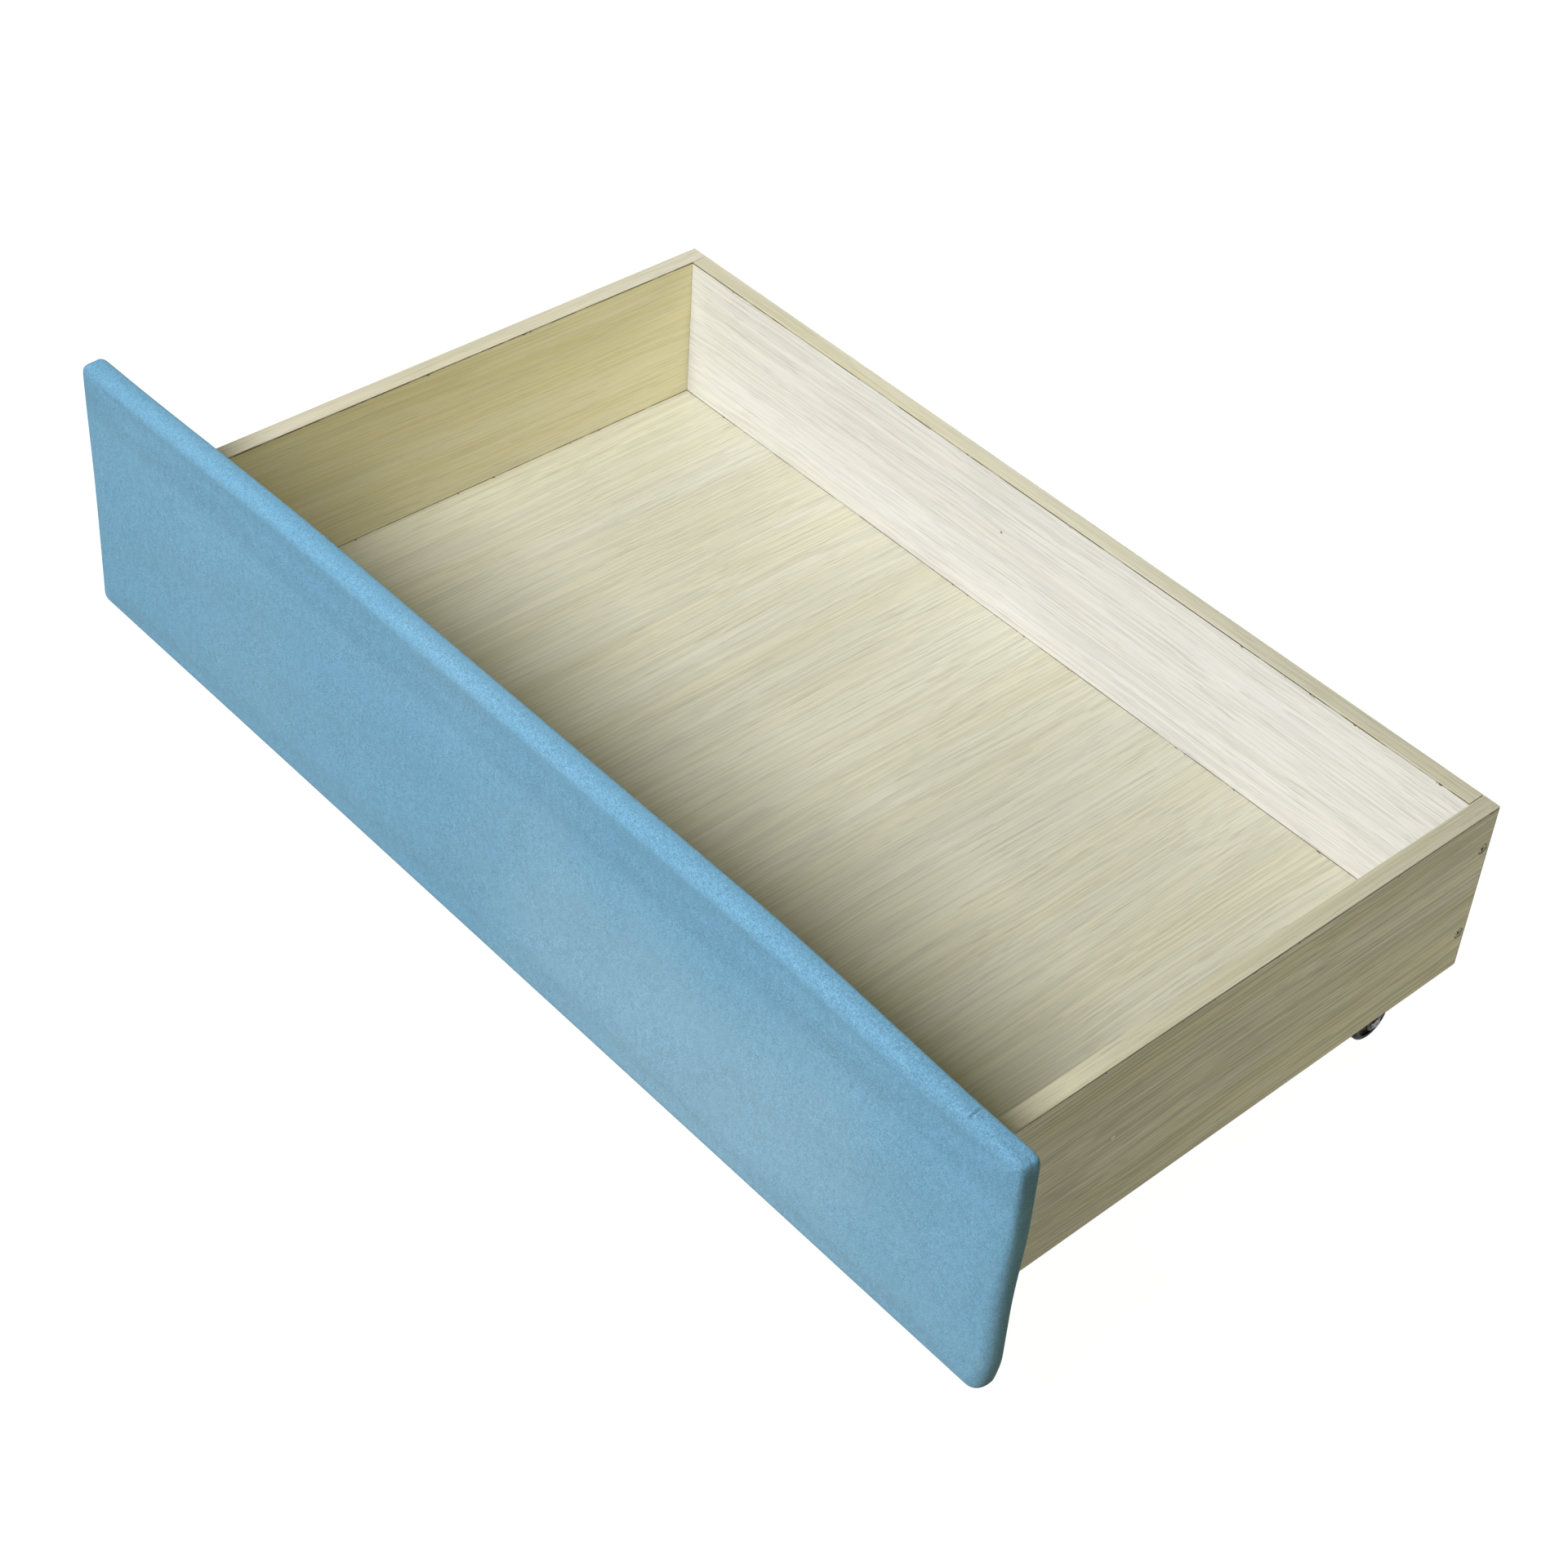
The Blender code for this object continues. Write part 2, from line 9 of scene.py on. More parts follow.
import bpy
import numpy as np
from mathutils import Matrix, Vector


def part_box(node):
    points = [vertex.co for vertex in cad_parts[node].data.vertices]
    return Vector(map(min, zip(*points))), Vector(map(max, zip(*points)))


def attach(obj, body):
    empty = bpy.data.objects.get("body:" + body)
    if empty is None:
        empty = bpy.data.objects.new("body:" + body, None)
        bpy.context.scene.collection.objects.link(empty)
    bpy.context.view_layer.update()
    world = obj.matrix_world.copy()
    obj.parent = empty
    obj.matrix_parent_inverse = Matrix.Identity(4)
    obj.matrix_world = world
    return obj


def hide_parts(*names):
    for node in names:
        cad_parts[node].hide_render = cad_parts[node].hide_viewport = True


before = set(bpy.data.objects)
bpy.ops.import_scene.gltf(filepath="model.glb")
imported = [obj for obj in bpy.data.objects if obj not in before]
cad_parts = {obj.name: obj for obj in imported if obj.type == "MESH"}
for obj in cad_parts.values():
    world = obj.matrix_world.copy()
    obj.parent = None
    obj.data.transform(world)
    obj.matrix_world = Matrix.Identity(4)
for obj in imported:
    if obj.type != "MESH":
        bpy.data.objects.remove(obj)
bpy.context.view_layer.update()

# ---- Places read from the CAD model -------------------------------------------------------------------


def corners(node):
    """A CAD node's lowest and highest corner, as arrays."""
    low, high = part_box(node)
    return np.array(low), np.array(high)


def middle_and_half(node):
    """The middle of a CAD node's box, and half its size along each axis."""
    low, high = corners(node)
    return (low + high) / 2, (high - low) / 2


SIDES = {"left": -1, "right": 1}
ENDS = ("front", "back")
LEVELS = ("lower", "upper")

PANEL_LOW, PANEL_HIGH = corners("panel_cover")
LINING_LOW, LINING_HIGH = corners("panel_lining")
CORE_LOW, CORE_HIGH = corners("panel_board")
FOAM_HIGH = corners("panel_foam")[1]
BACK_LOW = corners("back_board")[0]
SIDE_LOW, SIDE_HIGH = corners("side_right")

# ---- Velvet panel -------------------------------------------------------------------------------------

PANEL_CORNER = 0.0125  # rounding of the outline, seen from the front
LEAST_CORNER = 0.0006
TOP_RIGHT_ROUNDNESS = 0.55  # that corner is pulled tighter than the others
FRONT_ROUNDING = 0.0102
BACK_ROUNDING = 0.0038
COVER_THICKNESS = 0.0009
TURNED_IN = 0.025
SWELL = 0.0012  # what the stuffed cover grows by, which its pattern leaves out
CROWN = 0.0030  # the top edge rises this much above its nominal height
LEFT_DROP = 0.0086
RIGHT_DROP = 0.0125
LEFT_FLARE = 0.0066
LEFT_LEAN = 0.0032
RIGHT_LEAN = 0.0036
RIGHT_TUCK = 0.0045
LEFT_DIP = 0.0015
COVER_COLUMNS = 150
COVER_ROWS = 40
CORNER_CELLS = 3
# The crease is drawn only as painted shade in the velvet's colour.
PAINTED_CREASE = (0.4525, -0.266, 0.286)  # where a short crease crosses the top edge
PUFF = 0.0018  # the most that a point of the cover moves when it is stuffed
STUFFING_FRAMES = 20
LINING_COLUMNS = 160
LINING_ROWS = 32
LINING_SAG = 0.0009
LINING_HELD = 0.02  # width of the margin over which it lies flat
LINING_THICKNESS = 0.00035
SAG_HALF_WIDTH = 0.415  # it sags only between the side boards' front ends
SAG_BOTTOM = 0.085  # and above the base board's
STROKED_STRETCH = (1.0, 0.0, 2.2)
STROKED_CENTRE = (0.22, 0.0, 0.29)  # the broad stroked area of the nap, in stretched coordinates
STAPLE_SPACING = 0.046
STAPLE_WIRE = 0.0004  # the wire's radius

# ---- Boards: the pale and the straw tone of each print --------------------------------------------------

# All boards carry one print. The base's and the back's tones are paler and greyer, the sides' yellower:
# painted light, a lit and a shaded look of the same board.
BASE_TONES = ((0.572, 0.560, 0.482), (0.550, 0.532, 0.410))
BACK_TONES = ((0.695, 0.690, 0.685), (0.672, 0.660, 0.622))
SIDE_TONES = ((0.650, 0.610, 0.400), (0.610, 0.550, 0.270))
BAND_TONES = ((0.560, 0.540, 0.440), (0.520, 0.485, 0.340))

# ---- Numbers for bands and fittings --------------------------------------------------------------------

BAND_ROUNDING = 0.00045
WOOD_SCREW_CONE = 0.0024
WOOD_SCREW_SHANK = 0.0019
SHEET = 0.0018  # the fork's steel
LEG_INNER = 0.0093  # from the fork's middle to a leg's inner face
LEG_END = 0.0075  # the leg's rounding about the axle
LEG_TOP = 0.036
RIVET_SHANK = 0.0025
RIVET_RISE = 0.0016
PLATE_SCREW_RISE = 0.0022
PLATE_SCREW_SHANK = 0.0016


# ---- Mesh helpers --------------------------------------------------------------------------------------

def ease(share):
    """A smooth step: 0 up to 0, 1 from 1 on, with level ends between."""
    share = np.clip(share, 0, 1)
    return share * share * (3 - 2 * share)


def bump_at(distance, width):
    """A bell of height 1 about distance 0."""
    return np.exp(-((distance / width) ** 2))


def quads(index, wrap_rows=False, wrap_columns=False):
    """Quads between the neighbours in a two-way array of point numbers."""
    if wrap_rows:
        index = np.vstack([index, index[:1]])
    if wrap_columns:
        index = np.hstack([index, index[:, :1]])
    return np.stack([index[:-1, :-1], index[:-1, 1:], index[1:, 1:], index[1:, :-1]], -1).reshape(-1, 4)


def end_fans(index, start, end):
    """Triangles that close a tube of rings: the first ring on one middle point, the last on another."""
    first, last = index[0], index[-1]
    return [
        np.stack([np.full(len(first), start), np.roll(first, -1), first], -1),
        np.stack([np.full(len(last), end), last, np.roll(last, -1)], -1),
    ]


def outward(points, faces):
    """The same shell, turned inside out if the volume that its faces sweep about its middle is negative."""
    centred = points - points.mean(0)
    volume = 0.0
    for group in faces:
        for k in range(1, group.shape[1] - 1):
            first, second, third = (centred[group[:, n]] for n in (0, k, k + 1))
            volume += np.einsum("ij,ij->i", first, np.cross(second, third)).sum()
    return points, [group[:, ::-1] if volume < 0 else group for group in faces]


def together(*shells):
    """Several shells as one list of points and faces."""
    points, faces, start = [], [], 0
    for shell_points, shell_faces in shells:
        points.append(shell_points)
        faces += [group + start for group in shell_faces]
        start += len(shell_points)
    return np.vstack(points), faces


def facing(direction):
    """A turn that takes +Z to a direction, as a matrix."""
    axis = np.array(direction, float)
    axis /= np.linalg.norm(axis)
    side = np.cross([0, 1, 0] if abs(axis[1]) < 0.9 else [1, 0, 0], axis)
    side /= np.linalg.norm(side)
    return np.stack([side, np.cross(axis, side), axis], 1)


def placed(shell, place, direction=(0, 0, 1), spin=0.0):
    """A shell spun about its own +Z, turned so that +Z points in a direction, and moved to a place."""
    points, faces = shell
    c, s = math.cos(spin), math.sin(spin)
    spun = points @ np.array([[c, s, 0], [-s, c, 0], [0, 0, 1]])
    return spun @ facing(direction).T + np.array(place), faces


def new_piece(name, shell, finish, stands_for=(), body="drawer", crease=40):
    """A mesh object made of a shell, with a finish. It rides on a body and stands for CAD nodes."""
    points, faces = shell
    mesh = bpy.data.meshes.new(name)
    mesh.from_pydata(points.tolist(), [], [face for group in faces for face in group.tolist()])
    mesh.shade_smooth()
    mesh.set_sharp_from_angle(angle=math.radians(crease))
    mesh.materials.append(finish)
    piece = bpy.data.objects.new(name, mesh)
    bpy.context.scene.collection.objects.link(piece)
    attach(piece, body)
    if stands_for:
        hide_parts(*stands_for)
    return piece


def coordinates(mesh):
    found = np.empty(len(mesh.vertices) * 3, np.float32)
    mesh.vertices.foreach_get("co", found)
    return found.reshape(-1, 3).astype(float)


# ---- Shapes --------------------------------------------------------------------------------------------

def arc(centre, radius, start, end, steps):
    """(radius, height) points on a round stretch of a profile, from one angle to another, in degrees."""
    angle = np.radians(np.linspace(start, end, steps + 1))
    return np.stack([centre[0] + radius * np.cos(angle), centre[1] + radius * np.sin(angle)], 1)


def turned(profile, steps=48, closed=False):
    """A profile of (radius, height) points turned about Z. An open one starts and ends on the axis."""
    profile = np.vstack(profile)
    ring = profile if closed else profile[1:-1]
    angle = np.linspace(0, 2 * np.pi, steps, endpoint=False)
    radius, height = ring[:, :1], ring[:, 1:]
    rings = np.stack([radius * np.cos(angle), radius * np.sin(angle), height + 0 * angle], -1)
    points = rings.reshape(-1, 3)
    index = np.arange(len(points)).reshape(len(ring), steps)
    faces = [quads(index, closed, True)]
    if not closed:
        faces += end_fans(index, len(points), len(points) + 1)
        points = np.vstack([points, [0, 0, profile[0, 1]], [0, 0, profile[-1, 1]]])
    return outward(points, faces)


def slab(outline, profile):
    """A flat plate about its outline's middle. outline(inset) is a closed loop of (x, y) points drawn in by
    an inset. Each (inset, height) of the profile, bottom to top, is one ring. Both ends close in a fan."""
    loops = [(outline(inset), height) for inset, height in profile]
    rings = [np.column_stack([loop, np.full(len(loop), height)]) for loop, height in loops]
    count = len(rings[0])
    points = np.vstack([*rings, rings[0].mean(0), rings[-1].mean(0)])
    index = np.arange(len(rings) * count).reshape(len(rings), count)
    return outward(points, [quads(index, False, True), *end_fans(index, len(points) - 2, len(points) - 1)])


def rounded_edge(low, high, radius, steps=3):
    """(inset, height) rings of a plate from low to high whose two rims are rounded."""
    angle = np.linspace(0, np.pi / 2, steps + 1)
    rim = np.stack([radius * (1 - np.sin(angle)), radius * (1 - np.cos(angle))], 1)
    return [(inset, low + drop) for inset, drop in rim] + [(inset, high - drop) for inset, drop in rim[::-1]]


def rounded_rectangle(half_x, half_y, radius, steps=5):
    """A loop maker for slab: a rectangle about the origin, its corners quarter circles."""

    def outline(inset):
        bend = max(radius - inset, 0.0001)
        quarter = arc((0, 0), bend, 0, 90, steps)
        turns = [(1, 1), (-1, 1), (-1, -1), (1, -1)]
        loops = []
        for k, (sx, sy) in enumerate(turns):
            c, s = round(math.cos(k * math.pi / 2)), round(math.sin(k * math.pi / 2))
            centre = np.array([sx * (half_x - inset - bend), sy * (half_y - inset - bend)])
            loops.append(quarter @ np.array([[c, s], [-s, c]]) + centre)
        return np.vstack(loops)

    return outline


def strip(low, high, thin_axis, rounding, corner=0.0004):
    """A thin strip that fills a box: a rounded rectangle across its two long axes, thin along the third."""
    low, high = np.array(low), np.array(high)
    across = [axis for axis in range(3) if axis != thin_axis]
    half = (high - low) / 2
    plate = slab(
        rounded_rectangle(half[across[0]], half[across[1]], corner, 3),
        rounded_edge(-half[thin_axis], half[thin_axis], rounding, 3),
    )
    points = np.empty_like(plate[0])
    points[:, across[0]], points[:, across[1]], points[:, thin_axis] = plate[0].T
    return outward(points + (low + high) / 2, plate[1])


def swept(path, normal, radius, sides=6):
    """A round wire carried along a flat path: each ring lies in the plane of the normal and the path's own
    normal there. Both ends close in a fan."""
    path, normal = np.array(path, float), np.array(normal, float)
    along = np.gradient(path, axis=0)
    along /= np.linalg.norm(along, axis=1)[:, None]
    inward = np.cross(normal, along)
    angle = np.linspace(0, 2 * np.pi, sides, endpoint=False)[None, :, None]
    rings = path[:, None] + radius * (np.cos(angle) * inward[:, None] + np.sin(angle) * normal)
    index = np.arange(len(path) * sides).reshape(len(path), sides)
    points = np.vstack([rings.reshape(-1, 3), path[:1], path[-1:]])
    return outward(points, [quads(index, False, True), *end_fans(index, index.size, index.size + 1)])


def ripple(x, z, seed, longest, shortest, waves=9):
    """Soft unevenness, mostly between -1 and 1: plane waves of seeded lengths, headings and phases."""
    draw = np.random.default_rng(seed)
    total = np.zeros_like(x)
    for _ in range(waves):
        length = draw.uniform(shortest, longest)
        heading, phase = draw.uniform(0, np.pi), draw.uniform(0, 2 * np.pi)
        total += np.sin(2 * np.pi * (x * np.cos(heading) + z * np.sin(heading)) / length + phase)
    return total / math.sqrt(waves)


# ---- Finishes ------------------------------------------------------------------------------------------

class Finish:
    """A material under construction: a Principled shader and the nodes that feed it."""

    def __init__(self, name, **sockets):
        self.material = bpy.data.materials.new(name)
        self.material.use_nodes = True
        self.tree = self.material.node_tree
        self.shader = self.tree.nodes["Principled BSDF"]
        for socket, value in sockets.items():
            self.shader.inputs[socket.replace("_", " ")].default_value = value
        self.place = self.tree.nodes.new("ShaderNodeTexCoord").outputs["Object"]

    def link(self, source, socket):
        if isinstance(source, bpy.types.NodeSocket):
            self.tree.links.new(source, socket)
        else:
            socket.default_value = source

    def node(self, kind, settings=None, **inputs):
        """A node with its settings, its inputs joined or set. Inputs are named, or numbered as in i0."""
        made = self.tree.nodes.new("ShaderNode" + kind)
        for name, value in (settings or {}).items():
            setattr(made, name, value)
        for name, value in inputs.items():
            key = int(name[1:]) if name[0] == "i" and name[1:].isdigit() else name.replace("_", " ")
            self.link(value, made.inputs[key])
        return made

    def maths(self, operation, first, second=0.0, clamp=False):
        settings = {"operation": operation, "use_clamp": clamp}
        return self.node("Math", settings, i0=first, i1=second).outputs[0]

    def times(self, first, second):
        return self.maths("MULTIPLY", first, second)

    def plus(self, first, second):
        return self.maths("ADD", first, second)

    def away(self, place, centre):
        """The distance of a place from a point."""
        return self.node("VectorMath", {"operation": "DISTANCE"}, i0=place, i1=centre).outputs["Value"]

    def cells(self, scale, **inputs):
        """Cellular noise over stretched coordinates."""
        return self.node("TexVoronoi", {"feature": "F1"}, Vector=self.stretched(scale), Scale=1.0, **inputs)

    def stretched(self, scale, place=None):
        """The coordinates times a scale along each axis."""
        source = self.place if place is None else place
        return self.node("VectorMath", {"operation": "MULTIPLY"}, i0=source, i1=scale).outputs[0]

    def noise(self, scale, detail=2.0, rough=0.5, place=None, distortion=0.0):
        """Noise over stretched coordinates. A scale of one number is the same along all axes."""
        scale = (scale,) * 3 if isinstance(scale, (int, float)) else scale
        made = self.node("TexNoise", None, Vector=self.stretched(scale, place), Scale=1.0, Detail=detail,
                         Roughness=rough, Distortion=distortion)
        return made.outputs[0]

    def span(self, value, low, high, to_low=0.0, to_high=1.0):
        """A value between low and high, brought to another range, level beyond both ends."""
        made = self.node("MapRange", {"interpolation_type": "SMOOTHSTEP"}, Value=value)
        for k, number in enumerate((low, high, to_low, to_high), start=1):
            made.inputs[k].default_value = number
        return made.outputs[0]

    def blend(self, share, first, second, mode="MIX"):
        """Two colours mixed. A number or a socket is the share of the second."""
        made = self.node("Mix", {"data_type": "RGBA", "blend_type": mode}, i0=share)
        for key, colour in ((6, first), (7, second)):
            plain = not isinstance(colour, bpy.types.NodeSocket)
            self.link((*colour, 1.0) if plain else colour, made.inputs[key])
        return made.outputs[2]

    def bump(self, height, depth, strength=1.0, over=None):
        """Relief of a depth in metres. over is the relief that lies under it."""
        made = self.node("Bump", None, Height=height, Distance=depth, Strength=strength)
        if over is not None:
            self.link(over, made.inputs["Normal"])
        return made.outputs[0]

    def done(self, colour, relief, roughness=None):
        """The finished material."""
        self.link(colour, self.shader.inputs["Base Color"])
        self.link(relief, self.shader.inputs["Normal"])
        if roughness is not None:
            self.link(roughness, self.shader.inputs["Roughness"])
        return self.material


def near(finish, axis, place, width):
    """1 at a place along an axis, falling to 0 a width away."""
    split = finish.node("SeparateXYZ", None, Vector=finish.place).outputs[axis]
    away = finish.maths("ABSOLUTE", finish.maths("SUBTRACT", split, place))
    return finish.span(away, width, 0.3 * width)


def grain_place(finish, along, seed):
    """Coordinates with the grain's direction first, which waver a little across the grain."""
    split = finish.node("SeparateXYZ", None, Vector=finish.place)
    order = [along, *[axis for axis in range(3) if axis != along]]
    turned_place = finish.node("CombineXYZ", None, X=split.outputs[order[0]], Y=split.outputs[order[1]],
                               Z=split.outputs[order[2]]).outputs[0]
    start = (seed, seed * 1.7, -seed)
    moved = finish.node("VectorMath", {"operation": "ADD"}, i0=turned_place, i1=start).outputs[0]
    for scale, reach in ((2.2, 0.020), (16.0, 0.0022)):
        scaled = finish.stretched((scale, 2.3 * scale, 2.3 * scale), moved)
        sway = finish.node("TexNoise", None, Vector=scaled, Scale=1.0, Detail=2.0).outputs[1]
        aside = finish.stretched((0, reach, reach), sway)
        moved = finish.node("VectorMath", {"operation": "ADD"}, i0=moved, i1=aside).outputs[0]
    return moved


def chipboard(finish):
    """Colour and height of raw particle board: pressed flakes of several browns."""
    flakes = finish.cells((900, 900, 1300))
    tone = finish.node("SeparateColor", None, Color=flakes.outputs["Color"]).outputs[0]
    browns = finish.blend(finish.span(tone, 0.2, 0.9), (0.22, 0.13, 0.065), (0.52, 0.38, 0.22))
    return browns, flakes.outputs["Distance"]


def grey(finish, value):
    """A number as a colour."""
    return finish.node("CombineColor", None, i0=value, i1=value, i2=value).outputs[0]


def oak_finish(name, along, seed, pale, straw, contrast=1.0, raw=(), seams=(), rough=0.42, specks_and_shade=()):
    """Oak-pattern melamine. Broad bands run between a pale and a straw tone, with embossed lines and short
    pores along the grain. raw lists (axis, place) of bare cut edges, and seams those of joints: lines of
    painted shade, the film chipped in places. The last list holds (place, radius, colour) of spots and of
    painted shade round screws."""
    finish = Finish(name, Specular_IOR_Level=0.4)
    place = grain_place(finish, along, seed)
    bands = finish.noise((1.6, 26, 26), 4.0, 0.6, place)
    streaks = finish.noise((3.0, 150, 150), 2.0, 0.5, place)
    lines = finish.noise((4.0, 470, 470), 1.0, 0.5, place)
    fine = finish.noise((9, 900, 900), 1.0, 0.6, place)
    pores = finish.span(finish.noise((26, 700, 700), 1.0, 0.5, place), 0.62, 0.70)
    patches = finish.noise((2.0, 9.0, 9.0), 1.0, 0.5, place)
    lean = finish.plus(finish.times(bands, 0.76), finish.times(streaks, 0.24))
    tone = finish.blend(finish.span(lean, 0.30, 0.70), pale, straw)
    lined = finish.span(lines, 0.38, 0.58, 1 - 0.15 * contrast, 1 + 0.05 * contrast)
    hair = finish.span(fine, 0.36, 0.60, 1 - 0.13 * contrast, 1 + 0.03 * contrast)
    cloud = finish.span(patches, 0.3, 0.7, 0.96, 1.03)
    shade = finish.times(finish.times(lined, hair), cloud)
    tone = finish.blend(1.0, tone, grey(finish, shade), "MULTIPLY")
    dark = tuple(0.58 * part for part in straw)
    tone = finish.blend(finish.times(pores, 0.5 * contrast), tone, dark)
    raised = finish.plus(lines, finish.times(fine, 0.5))
    height = finish.maths("SUBTRACT", raised, finish.times(pores, 0.8))
    surface = finish.bump(height, 0.00018, 0.9)
    polish = finish.span(lines, 0.3, 0.7, rough + 0.08, rough - 0.05)
    for axis, at in seams:
        chips = finish.span(finish.noise(120, 2.0, 0.7), 0.63, 0.68)
        chipped = finish.times(near(finish, axis, at, 0.0021), chips)
        # Besides the real chips, a line of painted shade runs along the gap itself.
        depth = finish.span(finish.noise(26, 3.0, 0.7), 0.40, 0.52, 0.45, 0.95)
        painted_joint_shade = finish.times(near(finish, axis, at, 0.0008), depth)
        tone = finish.blend(finish.maths("MAXIMUM", chipped, painted_joint_shade), tone, (0.13, 0.10, 0.055))
    # Spots, and rings of painted shade round screw heads, laid over the tone.
    for at, radius, spot_and_shade_colour in specks_and_shade:
        covered = finish.span(finish.away(finish.place, at), radius, 0.6 * radius)
        tone = finish.blend(covered, tone, spot_and_shade_colour)
    for axis, at in raw:
        edge = near(finish, axis, at, 0.0004)
        browns, flake_height = chipboard(finish)
        tone = finish.blend(edge, tone, browns)
        polish = finish.maths("ADD", polish, finish.times(edge, 0.4), clamp=True)
        surface = finish.bump(finish.times(flake_height, edge), 0.0003, 0.6, surface)
    return finish.done(tone, surface, polish)


def raw_board_finish():
    """The bare core board: pressed flakes, rough and dull."""
    finish = Finish("raw_core", Specular_IOR_Level=0.2)
    browns, height = chipboard(finish)
    polish = finish.span(height, 0.0, 1.0, 0.95, 0.8)
    return finish.done(browns, finish.bump(height, 0.0003, 0.7), polish)


def velvet_finish():
    """Short-pile velvet. Patches and streaks of nap lean two ways, most of all in one broad stroked area. A
    darker belt under the top edge is partly brushed-down nap and partly painted shade, and a short crease
    across it is painted shade. The pile is a grain, with painted sheen: a little darker and coarser where
    looked at face-on."""
    finish = Finish("velvet_pile", Roughness=0.85, Specular_IOR_Level=0.15, Sheen_Weight=0.22,
                    Sheen_Roughness=0.40, Sheen_Tint=(0.55, 0.85, 1.0, 1.0))
    patches = finish.noise((5, 5, 7), 2.0, 0.5, distortion=0.3)
    streaks = finish.noise((46, 46, 15), 3.0, 0.6, distortion=0.8)
    strokes = finish.noise((260, 260, 150), 3.0, 0.65)
    pile = finish.noise(1150, 2.0, 0.7)
    from_stroked = finish.away(finish.stretched(STROKED_STRETCH), STROKED_CENTRE)
    stroked = finish.span(from_stroked, 0.36, 0.0)
    mottle = finish.plus(finish.times(patches, 0.62), finish.times(streaks, 0.16))
    lean = finish.plus(mottle, finish.times(stroked, 0.56))
    tone = finish.blend(finish.span(lean, 0.20, 1.10), (0.140, 0.328, 0.512), (0.222, 0.402, 0.566))
    # Painted sheen: the pile's grain turns darker and coarser where the surface faces the camera.
    facing = finish.node("LayerWeight", None, Blend=0.5).outputs["Facing"]
    tufts = finish.span(finish.noise(620, 2.0, 0.65), 0.32, 0.68, -0.13, 0.13)
    tufts_with_painted_sheen = finish.times(tufts, finish.span(facing, 0.16, 0.42, 1.0, 0.2))
    grain = finish.plus(finish.span(pile, 0.3, 0.7, 0.78, 1.20), finish.span(strokes, 0.3, 0.7, -0.06, 0.06))
    grain = finish.times(finish.plus(grain, tufts_with_painted_sheen), finish.span(facing, 0.10, 0.45, 0.90, 1.0))
    # A darker belt under the top edge: partly brushed-down nap, partly painted shade below the rounding.
    brushed_nap_and_shade = near(finish, 2, PANEL_HIGH[2] - 0.030, 0.030)
    grain = finish.times(grain, finish.span(brushed_nap_and_shade, 0.0, 1.0, 1.0, 0.90))
    # Painted shade along a short crease across the top edge.
    along_painted_crease = finish.span(finish.away(finish.place, PAINTED_CREASE), 0.009, 0.004)
    crease = finish.times(along_painted_crease, near(finish, 0, PAINTED_CREASE[0], 0.0016))
    grain = finish.times(grain, finish.span(crease, 0.0, 1.0, 1.0, 0.7))
    tone = finish.blend(1.0, tone, grey(finish, grain), "MULTIPLY")
    brushed = finish.bump(strokes, 0.0006, 0.25, finish.bump(streaks, 0.0012, 0.25))
    relief = finish.bump(pile, 0.0005, 0.55, brushed)
    return finish.done(tone, relief, finish.span(pile, 0.3, 0.7, 0.95, 0.75))


def foam_finish():
    """Pale open-cell foam."""
    finish = Finish("foam_cells", Roughness=0.95)
    depth = finish.span(finish.cells((1400, 1400, 1400)).outputs["Distance"], 0.1, 0.6)
    tone = finish.blend(depth, (0.80, 0.77, 0.60), (0.62, 0.58, 0.42))
    return finish.done(tone, finish.bump(depth, 0.0004, 0.7))


def lining_finish():
    """Black non-woven cloth: matted threads, pinched by rows of small bond points."""
    finish = Finish("lining_mat", Roughness=0.92, Specular_IOR_Level=0.2)
    threads = finish.noise((700, 700, 700), 4.0, 0.75, distortion=2.5)
    points = finish.cells((520, 1, 640), Randomness=0.15)
    bond = finish.span(points.outputs["Distance"], 0.34, 0.20)
    tone = finish.blend(finish.span(threads, 0.3, 0.7), (0.012, 0.012, 0.014), (0.050, 0.050, 0.055))
    tone = finish.blend(finish.times(bond, 0.6), tone, (0.010, 0.010, 0.011))
    relief = finish.bump(bond, -0.0003, 0.7, finish.bump(threads, 0.0003, 0.5))
    return finish.done(tone, relief, finish.span(bond, 0.0, 1.0, 0.95, 0.55))


def plated_finish(name, bright, dull, rough=0.28):
    """Plated steel: two tones of passivation in clouds, with fine turning marks and small scratches."""
    finish = Finish(name, Metallic=1.0)
    clouds = finish.noise(420, 3.0, 0.6)
    scratches = finish.noise((2600, 500, 2600), 2.0, 0.6)
    tone = finish.blend(finish.span(clouds, 0.35, 0.68), bright, dull)
    polish = finish.span(clouds, 0.3, 0.7, rough - 0.06, rough + 0.14)
    return finish.done(tone, finish.bump(scratches, 0.00004, 0.5), polish)


def wheel_finish():
    """Black moulded plastic, glossy on its faces and scuffed grey round the tread."""
    finish = Finish("wheel_nylon", Specular_IOR_Level=0.07)
    mould = finish.noise(900, 3.0, 0.6)
    scuffs = finish.noise((1400, 260, 260), 3.0, 0.7)
    worn = finish.span(scuffs, 0.52, 0.70, 0.0, 0.5)
    tone = finish.blend(worn, (0.008, 0.007, 0.009), (0.030, 0.029, 0.029))
    polish = finish.plus(finish.span(mould, 0.3, 0.7, 0.24, 0.36), finish.times(worn, 0.4))
    return finish.done(tone, finish.bump(mould, 0.00005, 0.4), polish)


